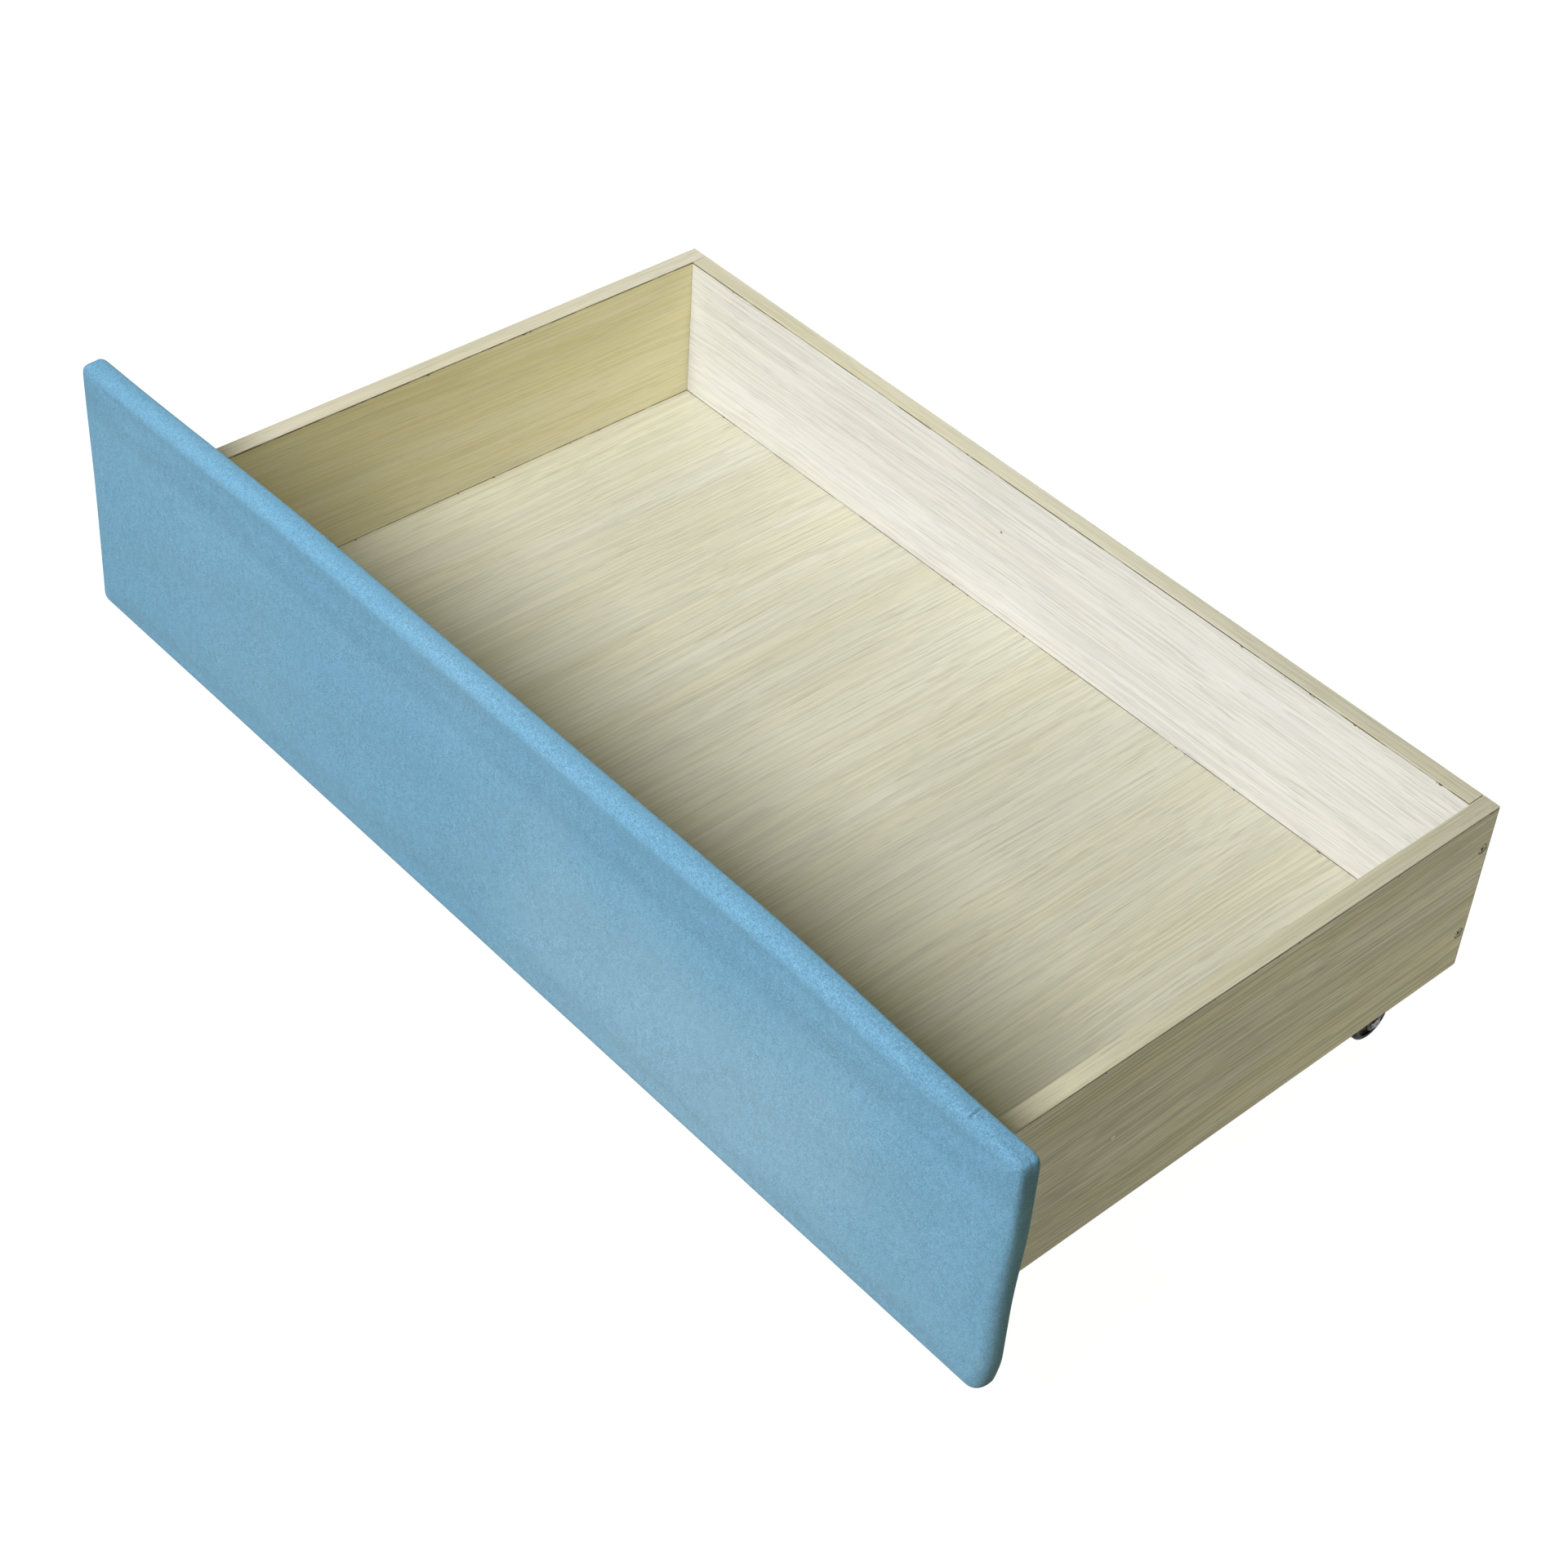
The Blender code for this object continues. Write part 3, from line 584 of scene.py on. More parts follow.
def painted_steel_finish():
    """Black enamel on pressed steel: orange peel, with a few bare nicks."""
    finish = Finish("bracket_enamel", Specular_IOR_Level=0.15)
    peel = finish.noise(700, 2.0, 0.5)
    nicks = finish.span(finish.noise(1300, 3.0, 0.7), 0.70, 0.74)
    finish.link(nicks, finish.shader.inputs["Metallic"])
    tone = finish.blend(nicks, (0.018, 0.018, 0.019), (0.30, 0.29, 0.28))
    relief = finish.bump(peel, 0.00006, 0.5, finish.bump(nicks, -0.00005, 0.6))
    return finish.done(tone, relief, finish.span(peel, 0.3, 0.7, 0.30, 0.42))


def dress(finish, *nodes):
    """Gives CAD nodes a finish in place of their plain colour."""
    for name in nodes:
        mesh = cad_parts[name].data
        mesh.materials.clear()
        mesh.materials.append(finish)


# ---- Camera, light and floor ---------------------------------------------------------------------------

def make_camera():
    """A long lens from the front right, above, turned a little about its own axis."""
    data = bpy.data.cameras.new("camera")
    data.lens = 70.70
    data.sensor_width = 36.0
    data.shift_x = -0.0729
    camera = bpy.data.objects.new("camera", data)
    azimuth, elevation, roll = math.radians(42.717), math.radians(42.202), math.radians(6.414)
    turn = Matrix.Rotation(azimuth, 4, "Z")
    turn = turn @ Matrix.Rotation(math.pi / 2 - elevation, 4, "X") @ Matrix.Rotation(roll, 4, "Z")
    camera.matrix_world = Matrix.Translation((1.2262, -1.2004, 1.6338)) @ turn
    bpy.context.scene.collection.objects.link(camera)
    bpy.context.scene.camera = camera


def make_light():
    """A large soft light ahead of the front and above, a wide low one behind the box, a weak one from the
    back right, a small one over the box that is turned to its far left corner, and an even pale surround."""
    for name, power, size, spread, place, aim in (
        ("key", 304.0, (1.7, 1.7), 180, (0.00, -3.46, 3.66), (0.0, 0.0, 0.10)),
        ("back_fill", 38.0, (0.4, 2.4), 180, (-2.90, 3.50, 0.70), (0.0, 0.20, 0.13)),
        ("side_fill", 0.15, (0.3, 0.3), 24, (2.30, 1.50, 0.36), (0.44, 0.30, 0.12)),
        ("corner_fill", 0.48, (0.4, 0.4), 62, (0.40, 0.14, 0.76), (-0.44, 0.25, 0.15)),
    ):
        data = bpy.data.lights.new(name, "AREA")
        data.shape = "RECTANGLE"
        data.energy = power
        data.size, data.size_y = size
        data.spread = math.radians(spread)
        lamp = bpy.data.objects.new(name, data)
        turn = facing(np.array(place) - np.array(aim))
        lamp.matrix_world = Matrix.Translation(place) @ Matrix(turn.tolist()).to_4x4()
        bpy.context.scene.collection.objects.link(lamp)

    world = bpy.data.worlds.new("surround")
    world.use_nodes = True
    sky = world.node_tree.nodes["Background"]
    sky.inputs["Color"].default_value = (1.0, 0.96, 0.56, 1.0)
    sky.inputs["Strength"].default_value = 0.20
    bpy.context.scene.world = world
    bpy.context.scene.view_settings.view_transform = "Standard"


def make_floor():
    """A plain near-white sheet at floor level, and a far round wall of the same white that only the camera
    meets. Both glow, so they stay pale where the box shades them."""
    finish = Finish("floor", Base_Color=(0.12, 0.12, 0.12, 1.0), Roughness=0.9, Specular_IOR_Level=0.0,
                    Emission_Color=(1.0, 1.0, 1.0, 1.0), Emission_Strength=0.985)
    reach = 40.0
    mesh = bpy.data.meshes.new("floor")
    mesh.from_pydata([(-reach, -reach, 0), (reach, -reach, 0), (reach, reach, 0), (-reach, reach, 0)], [],
                     [(0, 1, 2, 3)])
    mesh.materials.append(finish.material)
    floor = bpy.data.objects.new("floor", mesh)

    angle = np.linspace(0, 2 * np.pi, 96, endpoint=False)
    rim = np.stack([0.99 * reach * np.cos(angle), 0.99 * reach * np.sin(angle)], 1)
    points = np.vstack([np.column_stack([rim, np.full(len(rim), height)]) for height in (-0.5, reach)])
    faces = quads(np.arange(len(points)).reshape(2, -1), False, True)[:, ::-1]
    mesh = bpy.data.meshes.new("wall")
    mesh.from_pydata(points.tolist(), [], faces.tolist())
    mesh.materials.append(finish.material)
    wall = bpy.data.objects.new("wall", mesh)
    wall.visible_glossy = wall.visible_transmission = wall.visible_shadow = False

    for sheet in (floor, wall):
        sheet.visible_diffuse = False
        bpy.context.scene.collection.objects.link(sheet)


# ---- Front panel ---------------------------------------------------------------------------------------

def crowned(x, z):
    """Points of the panel's plane after stretching: the top edge crowns over the middle and drops to both
    ends, most on the right, the left end flares towards the floor and the right one leans out at the top."""
    height = PANEL_HIGH[2] - PANEL_LOW[2]
    rise = (z - PANEL_LOW[2]) / height
    top = CROWN - LEFT_DROP * ease((-x - 0.20) / 0.30) - RIGHT_DROP * ease((x - 0.24) / 0.26)
    lifted = z + rise * top - (1 - rise) * LEFT_DIP * (0.5 - x)
    left = (LEFT_LEAN * rise - LEFT_FLARE * (1 - rise)) * ease(-x / 0.5)
    right = RIGHT_LEAN * ease((rise - 0.35) / 0.4) - RIGHT_TUCK * ease((0.16 - rise) / 0.16)
    return x + left + right * ease(x / 0.5), lifted


def panel_plane(inset, columns=COVER_COLUMNS, rows=COVER_ROWS):
    """(x, z) points on a grid over the panel's outline drawn in by an inset. The outermost cells along each
    axis span the corners, whose squares are pulled in to quarter discs."""
    half = (PANEL_HIGH - PANEL_LOW)[[0, 2]] / 2 - inset
    centre = (PANEL_HIGH + PANEL_LOW)[[0, 2]] / 2
    corner = max(PANEL_CORNER - inset, LEAST_CORNER)

    def stations(reach, count):
        ends = np.linspace(0, corner, CORNER_CELLS, endpoint=False)
        between = np.linspace(corner, 2 * reach - corner, count - 2 * CORNER_CELLS + 1)
        return np.concatenate([ends, between, (2 * reach - ends)[::-1]]) - reach

    x, z = np.meshgrid(stations(half[0], columns), stations(half[1], rows), indexing="ij")
    over = [np.maximum(np.abs(x) - (half[0] - corner), 0), np.maximum(np.abs(z) - (half[1] - corner), 0)]
    reach = np.maximum(np.hypot(*over), 1e-9)
    roundness = np.where((x > 0) & (z > 0), TOP_RIGHT_ROUNDNESS, 1.0)
    pull = 1 - roundness * (1 - np.where(reach > 1e-8, np.maximum(*over) / reach, 1))
    x = np.sign(x) * (np.abs(x) - over[0] * (1 - pull))
    z = np.sign(z) * (np.abs(z) - over[1] * (1 - pull))
    return np.stack(crowned(x + centre[0], z + centre[1]), -1)


def border(grid):
    """The points round a grid's edge, as one closed loop."""
    return np.concatenate([grid[:-1, 0], grid[-1, :-1], grid[:0:-1, -1], grid[0, :0:-1]])


def at_depth(plane, depth):
    """Points of the panel's plane, set at a depth along Y."""
    return np.stack([plane[..., 0], np.broadcast_to(depth, plane.shape[:-1]), plane[..., 1]], -1)


def panel_slab(section, columns=60, rows=18):
    """A closed board of the panel's outline. The section lists how far its rim is drawn in at each depth,
    from the front face to the back one. The two faces are grids, joined by the rim's rings."""
    planes = [panel_plane(inset, columns, rows) for inset, depth in section]
    levels = [at_depth(plane, depth) for plane, (inset, depth) in zip(planes, section)]
    index = np.arange(levels[0][..., 0].size).reshape(levels[0].shape[:2])
    behind = index + index.size
    between = [border(level) for level in levels[1:-1]]
    count = len(border(index))
    rings = [2 * index.size + k * count + np.arange(count) for k in range(len(between))]
    points = np.vstack([levels[0].reshape(-1, 3), levels[-1].reshape(-1, 3), *between])
    rim = quads(np.stack([border(index), *rings, border(behind)]), False, True)
    return outward(points, [quads(index), quads(behind)[:, ::-1], rim])


def cover_shell():
    """The velvet as it is cut and wrapped. The front face is a grid. From its edge the cloth turns over the
    foam on a rounded section, which is squarer by the top corners, then over the side wall, round the back
    edge and in over the back. Returns the shell and the numbers of the stapled points."""
    front, back = PANEL_LOW[1] + SWELL, PANEL_HIGH[1]
    thick = back - front
    plane = panel_plane(FRONT_ROUNDING + SWELL)
    inner, outer = border(plane), border(panel_plane(SWELL))
    middle_x = (PANEL_LOW[0] + PANEL_HIGH[0]) / 2
    from_end = (PANEL_HIGH[0] - PANEL_LOW[0]) / 2 - np.abs(outer[:, 0] - middle_x)
    from_top = PANEL_HIGH[2] - outer[:, 1]
    at_corner = bump_at(from_end, 0.016) * bump_at(from_top, 0.016)
    crisp = 2 + 2.6 * bump_at(from_end, 0.02) * bump_at(from_top, 0.075)

    rings = []
    for angle in np.linspace(0, np.pi / 2, 6)[1:]:
        inset = 1 - np.sin(angle) ** (2 / crisp)
        depth = 1 - np.maximum(np.cos(angle), 0) ** (2 / crisp)
        rings.append(at_depth(outer + (inner - outer) * inset[:, None], front + FRONT_ROUNDING * depth))
    wall = np.linspace(FRONT_ROUNDING, thick - BACK_ROUNDING, 4)[1:]
    for depth in wall:
        rings.append(at_depth(outer, front + depth))
    for angle in np.linspace(0, np.pi / 2, 4)[1:]:
        inset = BACK_ROUNDING * (1 - np.cos(angle)) / FRONT_ROUNDING
        depth = thick - BACK_ROUNDING * (1 - np.sin(angle))
        rings.append(at_depth(outer + (inner - outer) * inset, front + depth))
    for inset in np.linspace(BACK_ROUNDING, TURNED_IN, 5)[1:]:
        rings.append(at_depth(border(panel_plane(SWELL + inset)), back))
    rings = np.array(rings)

    fold = at_corner * bump_at(rings[:, :, 1] - front - 0.5 * thick, 0.0022)
    centre = np.array([middle_x, 0, (PANEL_LOW[2] + PANEL_HIGH[2]) / 2])
    inwards = np.sign(centre - rings) * np.array([1, 0, 1])
    rings = rings + 0.0008 * fold[:, :, None] * inwards

    face = at_depth(plane, front)
    x, z = plane[..., 0], plane[..., 1]
    from_ends = 0.5 - np.abs(x)
    from_edges = np.minimum(from_ends, np.minimum(PANEL_HIGH[2] - z, z - PANEL_LOW[2]))
    inside = ease(from_edges / 0.03)
    tugs = np.sin(2 * np.pi * (x + 0.35 * z) / 0.034 + 1.3 * np.sin(z / 0.045)) * bump_at(from_ends, 0.07)
    face[..., 1] -= inside * (0.0005 * ripple(x, z, 4, 0.16, 0.07) + 0.0005 * tugs)

    count = plane.shape[0] * plane.shape[1]
    index = np.arange(count).reshape(plane.shape[:2])
    ring_index = count + np.arange(rings.shape[0] * rings.shape[1]).reshape(rings.shape[:2])
    points = np.vstack([face.reshape(-1, 3), rings.reshape(-1, 3)])
    faces = [quads(index), quads(np.vstack([border(index), ring_index]), False, True)]
    return outward(points, faces), ring_index[-6:].ravel()


def stuffed(piece, held):
    """Presses the cover outwards from inside as cloth, held where it is stapled. The foam under it keeps any
    point from moving inwards, and a point keeps less and less of a long move."""
    rest = coordinates(piece.data)
    piece.vertex_groups.new(name="stapled").add(held.tolist(), 1.0, "REPLACE")
    cloth = piece.modifiers.new("Stuffing", "CLOTH")
    settings = cloth.settings
    settings.quality = 6
    settings.mass = 0.25
    settings.tension_stiffness = 18
    settings.compression_stiffness = 18
    settings.shear_stiffness = 8
    settings.bending_stiffness = 1.5
    settings.vertex_group_mass = "stapled"
    settings.use_pressure = True
    settings.uniform_pressure_force = 4.0
    settings.effector_weights.gravity = 0.0
    cloth.point_cache.frame_start = 1
    cloth.point_cache.frame_end = STUFFING_FRAMES
    for number in range(1, STUFFING_FRAMES + 1):
        bpy.context.scene.frame_set(number)
    graph = bpy.context.evaluated_depsgraph_get()
    move = coordinates(piece.evaluated_get(graph).data) - rest
    normals = np.empty(rest.size, np.float32)
    piece.data.vertices.foreach_get("normal", normals)
    normals = normals.reshape(-1, 3).astype(float)
    out = (move * normals).sum(1)[:, None]
    move = np.maximum(out, 0) * normals + 0.3 * (move - out * normals)
    piece.modifiers.remove(cloth)
    piece.vertex_groups.clear()
    bpy.context.scene.frame_set(1)
    length = np.linalg.norm(move, axis=1)[:, None]
    kept = rest + move * PUFF / (PUFF + length)
    piece.data.vertices.foreach_set("co", kept.astype(np.float32).ravel())
    piece.data.update()


def staple_places():
    """(x, z, lies along X) of the staples round the panel's back, clear of the box's front ends."""
    rows = []
    for x in np.arange(-0.46, 0.47, STAPLE_SPACING):
        rows.append((x, PANEL_HIGH[2] - 0.017 + 0.0012 * math.sin(900 * x), True))
        if abs(x) < 0.345:
            rows.append((x, PANEL_LOW[2] + 0.0066, True))
    for z in np.arange(PANEL_LOW[2] + 0.03, PANEL_HIGH[2] - 0.02, STAPLE_SPACING):
        for side in SIDES.values():
            rows.append((side * 0.4855, z, False))
    return rows


def make_panel():
    """Core board, foam, velvet cover, lining and staples."""
    shell, held = cover_shell()
    cover = new_piece("velvet_cover", shell, velvet_finish(), ["panel_cover"], crease=180)
    stuffed(cover, held)
    wall = cover.modifiers.new("Cloth thickness", "SOLIDIFY")
    wall.thickness = COVER_THICKNESS
    wall.offset = -1
    smooth = cover.modifiers.new("Smooth", "SUBSURF")
    smooth.levels = smooth.render_levels = 1

    bend = FRONT_ROUNDING + SWELL
    slack = FRONT_ROUNDING - COVER_THICKNESS - 0.0005
    depths = np.linspace(bend - slack + 0.0004, FOAM_HIGH[1] - PANEL_LOW[1], 5)
    insets = bend + SWELL - np.sqrt(slack**2 - (bend - depths) ** 2)
    foam = panel_slab(list(zip(insets, PANEL_LOW[1] + depths)))
    new_piece("foam_pad", foam, foam_finish(), ["panel_foam"])
    core = panel_slab([(insets[-1], CORE_LOW[1]), (insets[-1] - 0.0005, CORE_LOW[1] + 0.001),
                       (insets[-1] - 0.0005, CORE_HIGH[1])])
    new_piece("core_board", core, raw_board_finish(), ["panel_board"])

    across = np.linspace(LINING_LOW[0], LINING_HIGH[0], LINING_COLUMNS + 1)
    up = np.linspace(LINING_LOW[2], LINING_HIGH[2], LINING_ROWS + 1)
    x, z = np.meshgrid(across, up, indexing="ij")
    from_ends = np.minimum(x - LINING_LOW[0], LINING_HIGH[0] - x)
    from_edges = np.minimum(from_ends, np.minimum(z - LINING_LOW[2], LINING_HIGH[2] - z))
    clear = (from_edges, SAG_HALF_WIDTH - np.abs(x), z - SAG_BOTTOM)
    loose = np.prod([ease(distance / LINING_HELD) for distance in clear], axis=0)
    sheet_y = LINING_HIGH[1] - 0.0002 + LINING_SAG * loose * (1 + ripple(x, z, 11, 0.11, 0.035)) / 2
    px, pz = crowned(x, z)
    points = np.stack([px, sheet_y, pz], -1).reshape(-1, 3)
    faces = quads(np.arange(len(points)).reshape(x.shape))
    lining = new_piece("back_lining", (points, [faces]), lining_finish(), ["panel_lining"],
                       crease=180)
    body = lining.modifiers.new("Cloth thickness", "SOLIDIFY")
    body.thickness = LINING_THICKNESS
    body.offset = -1

    wires = []
    for x, z, level in staple_places():
        along = np.array([1.0, 0, 0]) if level else np.array([0, 0, 1.0])
        into = np.array([0, -1.0, 0])
        centre = np.array([x, PANEL_HIGH[1] - 0.0001, z])
        turns = [(-0.0050, 0.0040), (-0.0050, 0.0006), (-0.0045, 0.0001), (-0.0020, 0.0), (0.0020, 0.0),
                 (0.0045, 0.0001), (0.0050, 0.0006), (0.0050, 0.0040)]
        path = [centre + a * along + b * into for a, b in turns]
        wires.append(swept(path, np.cross(along, into), STAPLE_WIRE))
    wire = plated_finish("staple_wire", (0.62, 0.62, 0.60), (0.40, 0.40, 0.39))
    staples = new_piece("panel_staples", together(*wires), wire, crease=60)


# ---- Boards and bands ----------------------------------------------------------------------------------

def painted_light_tones(tones, light, blue):
    """Painted light: a board's own copy of the tones, red and green multiplied by one factor and blue by
    another.
    """
    return [(light * red, light * green, blue * third) for red, green, third in tones]


def make_boards():
    """Finishes of the boards, and rounded strips for their edge bands."""
    front_ends = (1, SIDE_LOW[1])
    lower_edges = (2, SIDE_LOW[2])
    cut_edges = [lower_edges, front_ends]
    under_band = (2, SIDE_HIGH[2])
    beside_sides = [(0, -SIDE_LOW[0]), (0, SIDE_LOW[0])]
    base = oak_finish("oak_base", 1, 3.1, *BASE_TONES, 0.55, [front_ends],
                      seams=[(1, BACK_LOW[1]), *beside_sides])
    dress(base, "base_board")
    nick = ((-0.0428, BACK_LOW[1], 0.158), 0.0014, (0.22, 0.18, 0.10))
    back = oak_finish("oak_back", 0, 7.7, *BACK_TONES, 0.52, [lower_edges], [under_band], specks_and_shade=[nick])
    dress(back, "back_board")

    speck = ((SIDE_HIGH[0], -0.1029, 0.1294), 0.0022, (0.80, 0.79, 0.72))
    # Painted light: each side gets its own copy of the tones, lighter and bluer on the left.
    for side, seed, contrast, light, blue in (
        ("left", 12.4, 0.40, 1.07, 1.12),
        ("right", 21.9, 1.25, 1.0, 1.06),
    ):
        specks_and_screw_shade = [speck]
        # A ring of painted shade round each screw head, a little wider than the head.
        for level in LEVELS:
            centre, half = middle_and_half(f"back_screw_{side}_{level}")
            centre[0] += SIDES[side] * half[0]
            specks_and_screw_shade.append((tuple(centre), 1.4 * half[2], (0.035, 0.028, 0.018)))
        tones = painted_light_tones(SIDE_TONES, light, blue)
        board = oak_finish(f"oak_side_{side}", 1, seed, *tones, contrast, cut_edges, [under_band],
                           specks_and_shade=specks_and_screw_shade)
        dress(board, f"side_{side}")
    for side, seed in zip(SIDES, (31.0, 35.0)):
        dress(oak_finish(f"oak_batten_{side}", 1, seed, *SIDE_TONES, raw=cut_edges), f"batten_{side}")

    along_y = {}
    # Painted light: the left top band gets lighter, bluer tones than the right.
    for side, seed, light, blue in (("left", 41.3, 1.12, 1.2096), ("right", 44.6, 1.0, 1.0)):
        tones = painted_light_tones(BAND_TONES, light, blue)
        along_y[side] = oak_finish(f"band_along_y_{side}", 1, seed, *tones, 0.45, rough=0.36)
    along_x = oak_finish("band_along_x", 0, 47.9, *BAND_TONES, 0.45, (), beside_sides, 0.36)
    along_z = oak_finish("band_along_z", 2, 52.2, *BAND_TONES, 0.45, rough=0.36)
    bands = [("back_top_band", along_x, 2)]
    for side in SIDES:
        bands += [(f"side_{side}_top_band", along_y[side], 2), (f"side_{side}_end_band", along_z, 1)]
    for node, finish, thin_axis in bands:
        shell = strip(*corners(node), thin_axis, BAND_ROUNDING)
        new_piece(f"{node}_strip", shell, finish, [node])


# ---- Screws and fittings -------------------------------------------------------------------------------

def with_recess(shell, top, width, reach, depth):
    """A driver's cross pressed into a head whose top is at a height: two crossed grooves with sloping walls,
    each as deep as its distance from its own sides and ends allows."""
    points, faces = shell
    x, y, z = points.T

    def groove(along, across):
        sides = np.clip(1.6 * (1 - np.abs(across) / width), 0, 1)
        ends = np.clip(2.2 * (1 - np.abs(along) / reach), 0, 1)
        return sides * ends

    in_reach = (np.hypot(x, y) < 1.02 * reach) * (z > top - 0.25 * depth)
    pressed = np.maximum(groove(x, y), groove(y, x)) * in_reach
    carved = points.copy()
    carved[:, 2] -= depth * pressed
    return carved, faces


def with_thread(shell, low, high, pitch, height):
    """A screw thread between two heights: the radius gains a sharp ridge that climbs one pitch a turn."""
    points, faces = shell
    x, y, z = points.T
    turn = np.mod(z / pitch - np.arctan2(y, x) / (2 * np.pi), 1)
    ridge = np.clip(1 - np.abs(turn - 0.5) / 0.28, 0, 1)
    fade = ease((z - low) / pitch) * ease((high - z) / pitch)
    radius = np.maximum(np.hypot(x, y), 1e-9)
    grow = 1 + height * ridge * fade / radius * (radius > 0.0004)
    cut = points.copy()
    cut[:, :2] *= grow[:, None]
    return cut, faces


def head_rings(radius, top, crown, count=11):
    """Profile points over a head from its middle to its rim, dropping by the crown."""
    share = np.linspace(0, 1, count)
    return np.stack([radius * share, top - crown * share**2], 1)


def countersunk_screw(length, head, cone, shank):
    """A wood screw with its head's flat top at height 0: cone, plain neck, thread and point."""
    thread = np.linspace(-0.010, 0.005 - length, 72)
    tip = np.linspace(0.004, 0.001, 3) - length
    point = [(shank * share, height) for share, height in zip((0.72, 0.45, 0.2), tip)]
    profile = [
        head_rings(head - 0.0002, 0.0, 0.0),
        [(head, -0.0002), (head, -0.0005), (shank + 0.0002, -cone), (shank, -cone - 0.0006)],
        np.stack([np.full(len(thread), 0.78 * shank), thread], 1),
        [*point, (0, -length)],
    ]
    shell = with_recess(turned(profile, 40), 0.0, 0.00055, 0.0024, 0.0017)
    return with_thread(shell, 0.003 - length, -0.010, 0.0014, 0.45 * shank)


def pan_screw(length, head, rise, shank):
    """A plate screw seated at height 0, with a domed head above and its thread below."""
    thread = np.linspace(-0.0012, 0.003 - length, 34)
    profile = [
        head_rings(0.62 * head, rise, 0.00015, 8),
        arc((head - 0.0009, rise - 0.0013), 0.0009, 70, 0, 4),
        [(head, 0.0001), (head - 0.0001, 0.0), (shank, 0.0)],
        np.stack([np.full(len(thread), 0.8 * shank), thread], 1),
        [(0.5 * shank, 0.0012 - length), (0, -length)],
    ]
    shell = with_recess(turned(profile, 32), rise, 0.0005, 0.0019, 0.0012)
    return with_thread(shell, 0.0015 - length, -0.001, 0.0012, 0.4 * shank)


def cam_nut(radius, depth):
    """A round die-cast nut, its face at height 0: chamfered rim, shallow dish, ring and driver's cross."""
    profile = [
        head_rings(0.52 * radius, -0.0002, 0.0, 9),
        [(0.56 * radius, -0.0002), (0.60 * radius, -0.0005), (0.82 * radius, -0.0005), (0.86 * radius, 0.0),
         (radius - 0.0004, 0.0), (radius, -0.0004), (radius, -depth + 0.0004), (radius - 0.0004, -depth),
         (0, -depth)],
    ]
    return with_recess(turned(profile, 48), -0.0002, 0.0009, 0.0036, 0.0022)


def make_fixings():
    """Countersunk screws through the sides into the back, and cam nuts behind the front ends."""
    yellow = plated_finish("yellow_zinc", (0.22, 0.18, 0.10), (0.07, 0.05, 0.025), 0.17)
    cast = plated_finish("die_cast_zinc", (0.56, 0.57, 0.58), (0.38, 0.39, 0.40), 0.38)
    bolt_plating = plated_finish("bolt_zinc", (0.66, 0.67, 0.68), (0.46, 0.47, 0.48))
    for side, sign in SIDES.items():
        for turn, level in enumerate(LEVELS):
            node = f"back_screw_{side}_{level}"
            centre, half = middle_and_half(node)
            centre[0] += sign * half[0]
            screw = countersunk_screw(2 * half[0], half[2], WOOD_SCREW_CONE, WOOD_SCREW_SHANK)
            shell = placed(screw, centre, (sign, 0, 0), 0.4 + 0.5 * turn + 0.3 * sign)
            new_piece(f"wood_screw_{side}_{level}", shell, yellow, [node])

            node = f"cam_nut_{side}_{level}"
            centre, half = middle_and_half(node)
            centre[0] -= sign * half[0]
            shell = placed(cam_nut(half[2], 2 * half[0]), centre, (-sign, 0, 0), 0.2 + turn)
            new_piece(f"cam_{side}_{level}", shell, cast, [node])
            dress(bolt_plating, f"cam_bolt_{side}_{level}")


# ---- Casters -------------------------------------------------------------------------------------------

def caster_wheel(radius, half):
    """A moulded wheel about Z. Its closed section has a bored hub, a filleted dish with a raised ring,
    rounded shoulders and a fine parting line round the tread."""
    bore, hub, rim, ridge = 0.0028, 0.0062, 0.0138, 0.00012
    radius -= ridge
    dish = half - 0.0020
    face = np.vstack([
        [(bore, half - 0.0003), (bore + 0.0003, half), (hub - 0.0004, half)],
        arc((hub - 0.0004, half - 0.0004), 0.0004, 90, 0, 2)[1:],
        [(hub + 0.0002, dish + 0.0006)],
        arc((hub + 0.0009, dish + 0.0007), 0.0007, 180, 270, 3)[1:],
        [(9.0e-3, dish), (9.3e-3, dish + 0.0003), (10.2e-3, dish + 0.0003), (10.5e-3, dish)],
        arc((rim - 0.0009, dish + 0.0007), 0.0007, 270, 360, 3),
        arc((rim + 0.0004, half - 0.0004), 0.0004, 180, 90, 2),
        arc((radius - 0.0030, half - 0.0030), 0.0030, 90, 0, 8),
    ])
    tread = np.array([(radius, 0.0004), (radius + ridge, 0.0)])
    upper = np.vstack([face, tread])
    lower = np.vstack([face, tread[:1]])[::-1] * np.array([1, -1])
    return turned([upper, lower], 72, closed=True)


def caster_axle(seat, shank, head, rise):
    """A rivet about Z: a plain shank between two domed heads, each with a small dimple from the press."""
    dome = [
        [(0, seat + rise - 0.0003), (0.0006, seat + rise - 0.00025), (0.0010, seat + rise)],
        arc((head - rise, seat), rise, 65, 0, 5),
        [(head - 0.0001, seat), (shank, seat)],
    ]
    upper = np.vstack(dome)
    return turned([upper, upper[::-1] * np.array([1, -1])], 40)


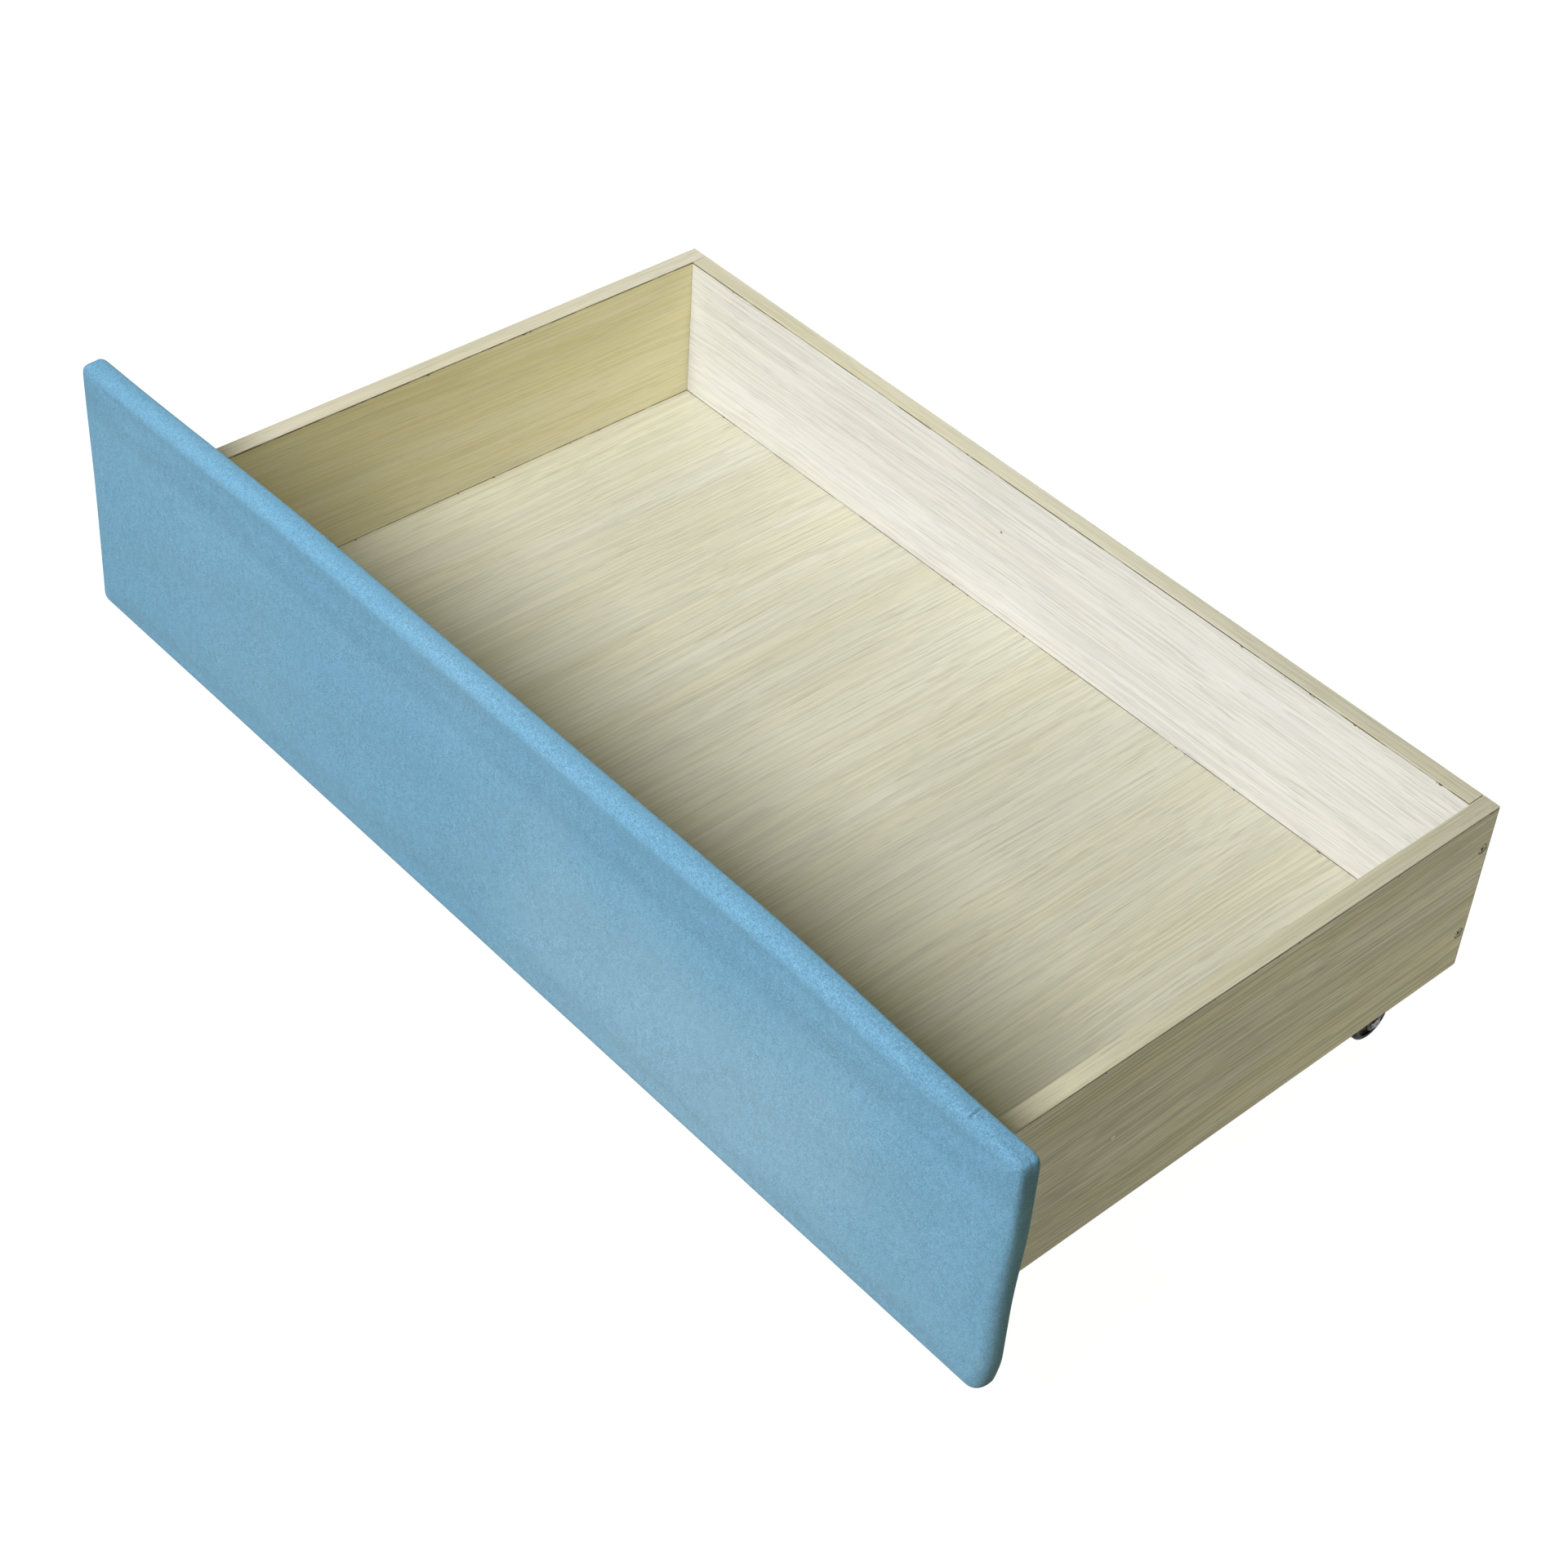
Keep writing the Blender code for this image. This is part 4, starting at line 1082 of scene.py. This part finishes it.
def leg_outline(top):
    """A loop maker for slab: a leg of the fork in its own plane, (along Y, up). Straight sides run from the
    wide top, tangent to a round end about the axle."""

    def outline(inset):
        end, half, height = LEG_END - inset, LEG_TOP / 2 - inset, top
        reach = math.hypot(half, height)
        slant = math.atan2(height, half) - math.acos(end / reach)
        side = np.linspace(0, 1, 7)[:-1, None]
        round_end = arc((0, 0), end, math.degrees(slant), -180 - math.degrees(slant), 14)
        down = (1 - side) * np.array([half, height]) + side * round_end[0]
        up = (1 - side) * round_end[-1] + side * np.array([-half, height])
        across = np.array([(-half, height), (-half / 3, height), (half / 3, height)])
        return np.vstack([down, round_end[:-1], up, across])

    return outline


def caster_bracket(plate_top, plate_half_x, plate_half_y):
    """A fork about the axle's middle: a plate with rounded corners and edges, and two legs whose roots flare
    outwards into the plate as sheet steel does where it is bent."""
    plate = slab(
        rounded_rectangle(plate_half_x, plate_half_y, 0.004, 6),
        rounded_edge(plate_top - SHEET, plate_top, 0.0004, 2),
    )
    root = plate_top - SHEET + 0.0006
    legs = []
    for side in SIDES.values():
        flat = slab(leg_outline(root), rounded_edge(-SHEET / 2, SHEET / 2, 0.0004, 2))
        along, up, out = flat[0].T
        flare = 0.0022 * ease((up - root + 0.0040) / 0.0040) ** 2
        points = np.stack([side * (LEG_INNER + SHEET / 2 + flare) + out, along, up], -1)
        legs.append(outward(points, flat[1]))
    return together(plate, *legs)


def make_casters():
    """Wheel, rivet, fork and plate screws of each caster. The wheel rides on its own body."""
    nylon, enamel = wheel_finish(), painted_steel_finish()
    bright = plated_finish("rivet_zinc", (0.20, 0.20, 0.21), (0.05, 0.05, 0.055), 0.20)
    screw_plating = plated_finish("screw_zinc", (0.68, 0.69, 0.71), (0.44, 0.45, 0.47), 0.30)
    for side in SIDES:
        for end in ENDS:
            node = f"caster_wheel_{end}_{side}"
            axle_centre, half = middle_and_half(node)
            shell = placed(caster_wheel(half[2], half[0]), axle_centre, (1, 0, 0))
            body = f"wheel_{end}_{side}"
            new_piece(body, shell, nylon, [node], body=body, crease=50)

            node = f"caster_axle_{end}_{side}"
            head = middle_and_half(node)[1][2]
            rivet = caster_axle(LEG_INNER + SHEET + 0.0003, RIVET_SHANK, head, RIVET_RISE)
            new_piece(f"rivet_{end}_{side}", placed(rivet, axle_centre, (1, 0, 0)), bright, [node])

            node = f"caster_bracket_{end}_{side}"
            plate_top = corners(node)[1][2] - axle_centre[2]
            fork = caster_bracket(plate_top, *middle_and_half(node)[1][:2])
            new_piece(f"fork_{end}_{side}", placed(fork, axle_centre), enamel, [node])

            for number in range(1, 5):
                node = f"plate_screw_{end}_{side}_{number}"
                centre, half = middle_and_half(node)
                centre[2] += PLATE_SCREW_RISE - half[2]
                below = 2 * half[2] - PLATE_SCREW_RISE
                screw = pan_screw(below, half[0], PLATE_SCREW_RISE, PLATE_SCREW_SHANK)
                shell = placed(screw, centre, (0, 0, -1), 0.7 * number)
                new_piece(f"fork_screw_{end}_{side}_{number}", shell, screw_plating, [node])


# ---- The scene -----------------------------------------------------------------------------------------

make_camera()
make_light()
make_floor()
make_panel()
make_boards()
make_fixings()
make_casters()
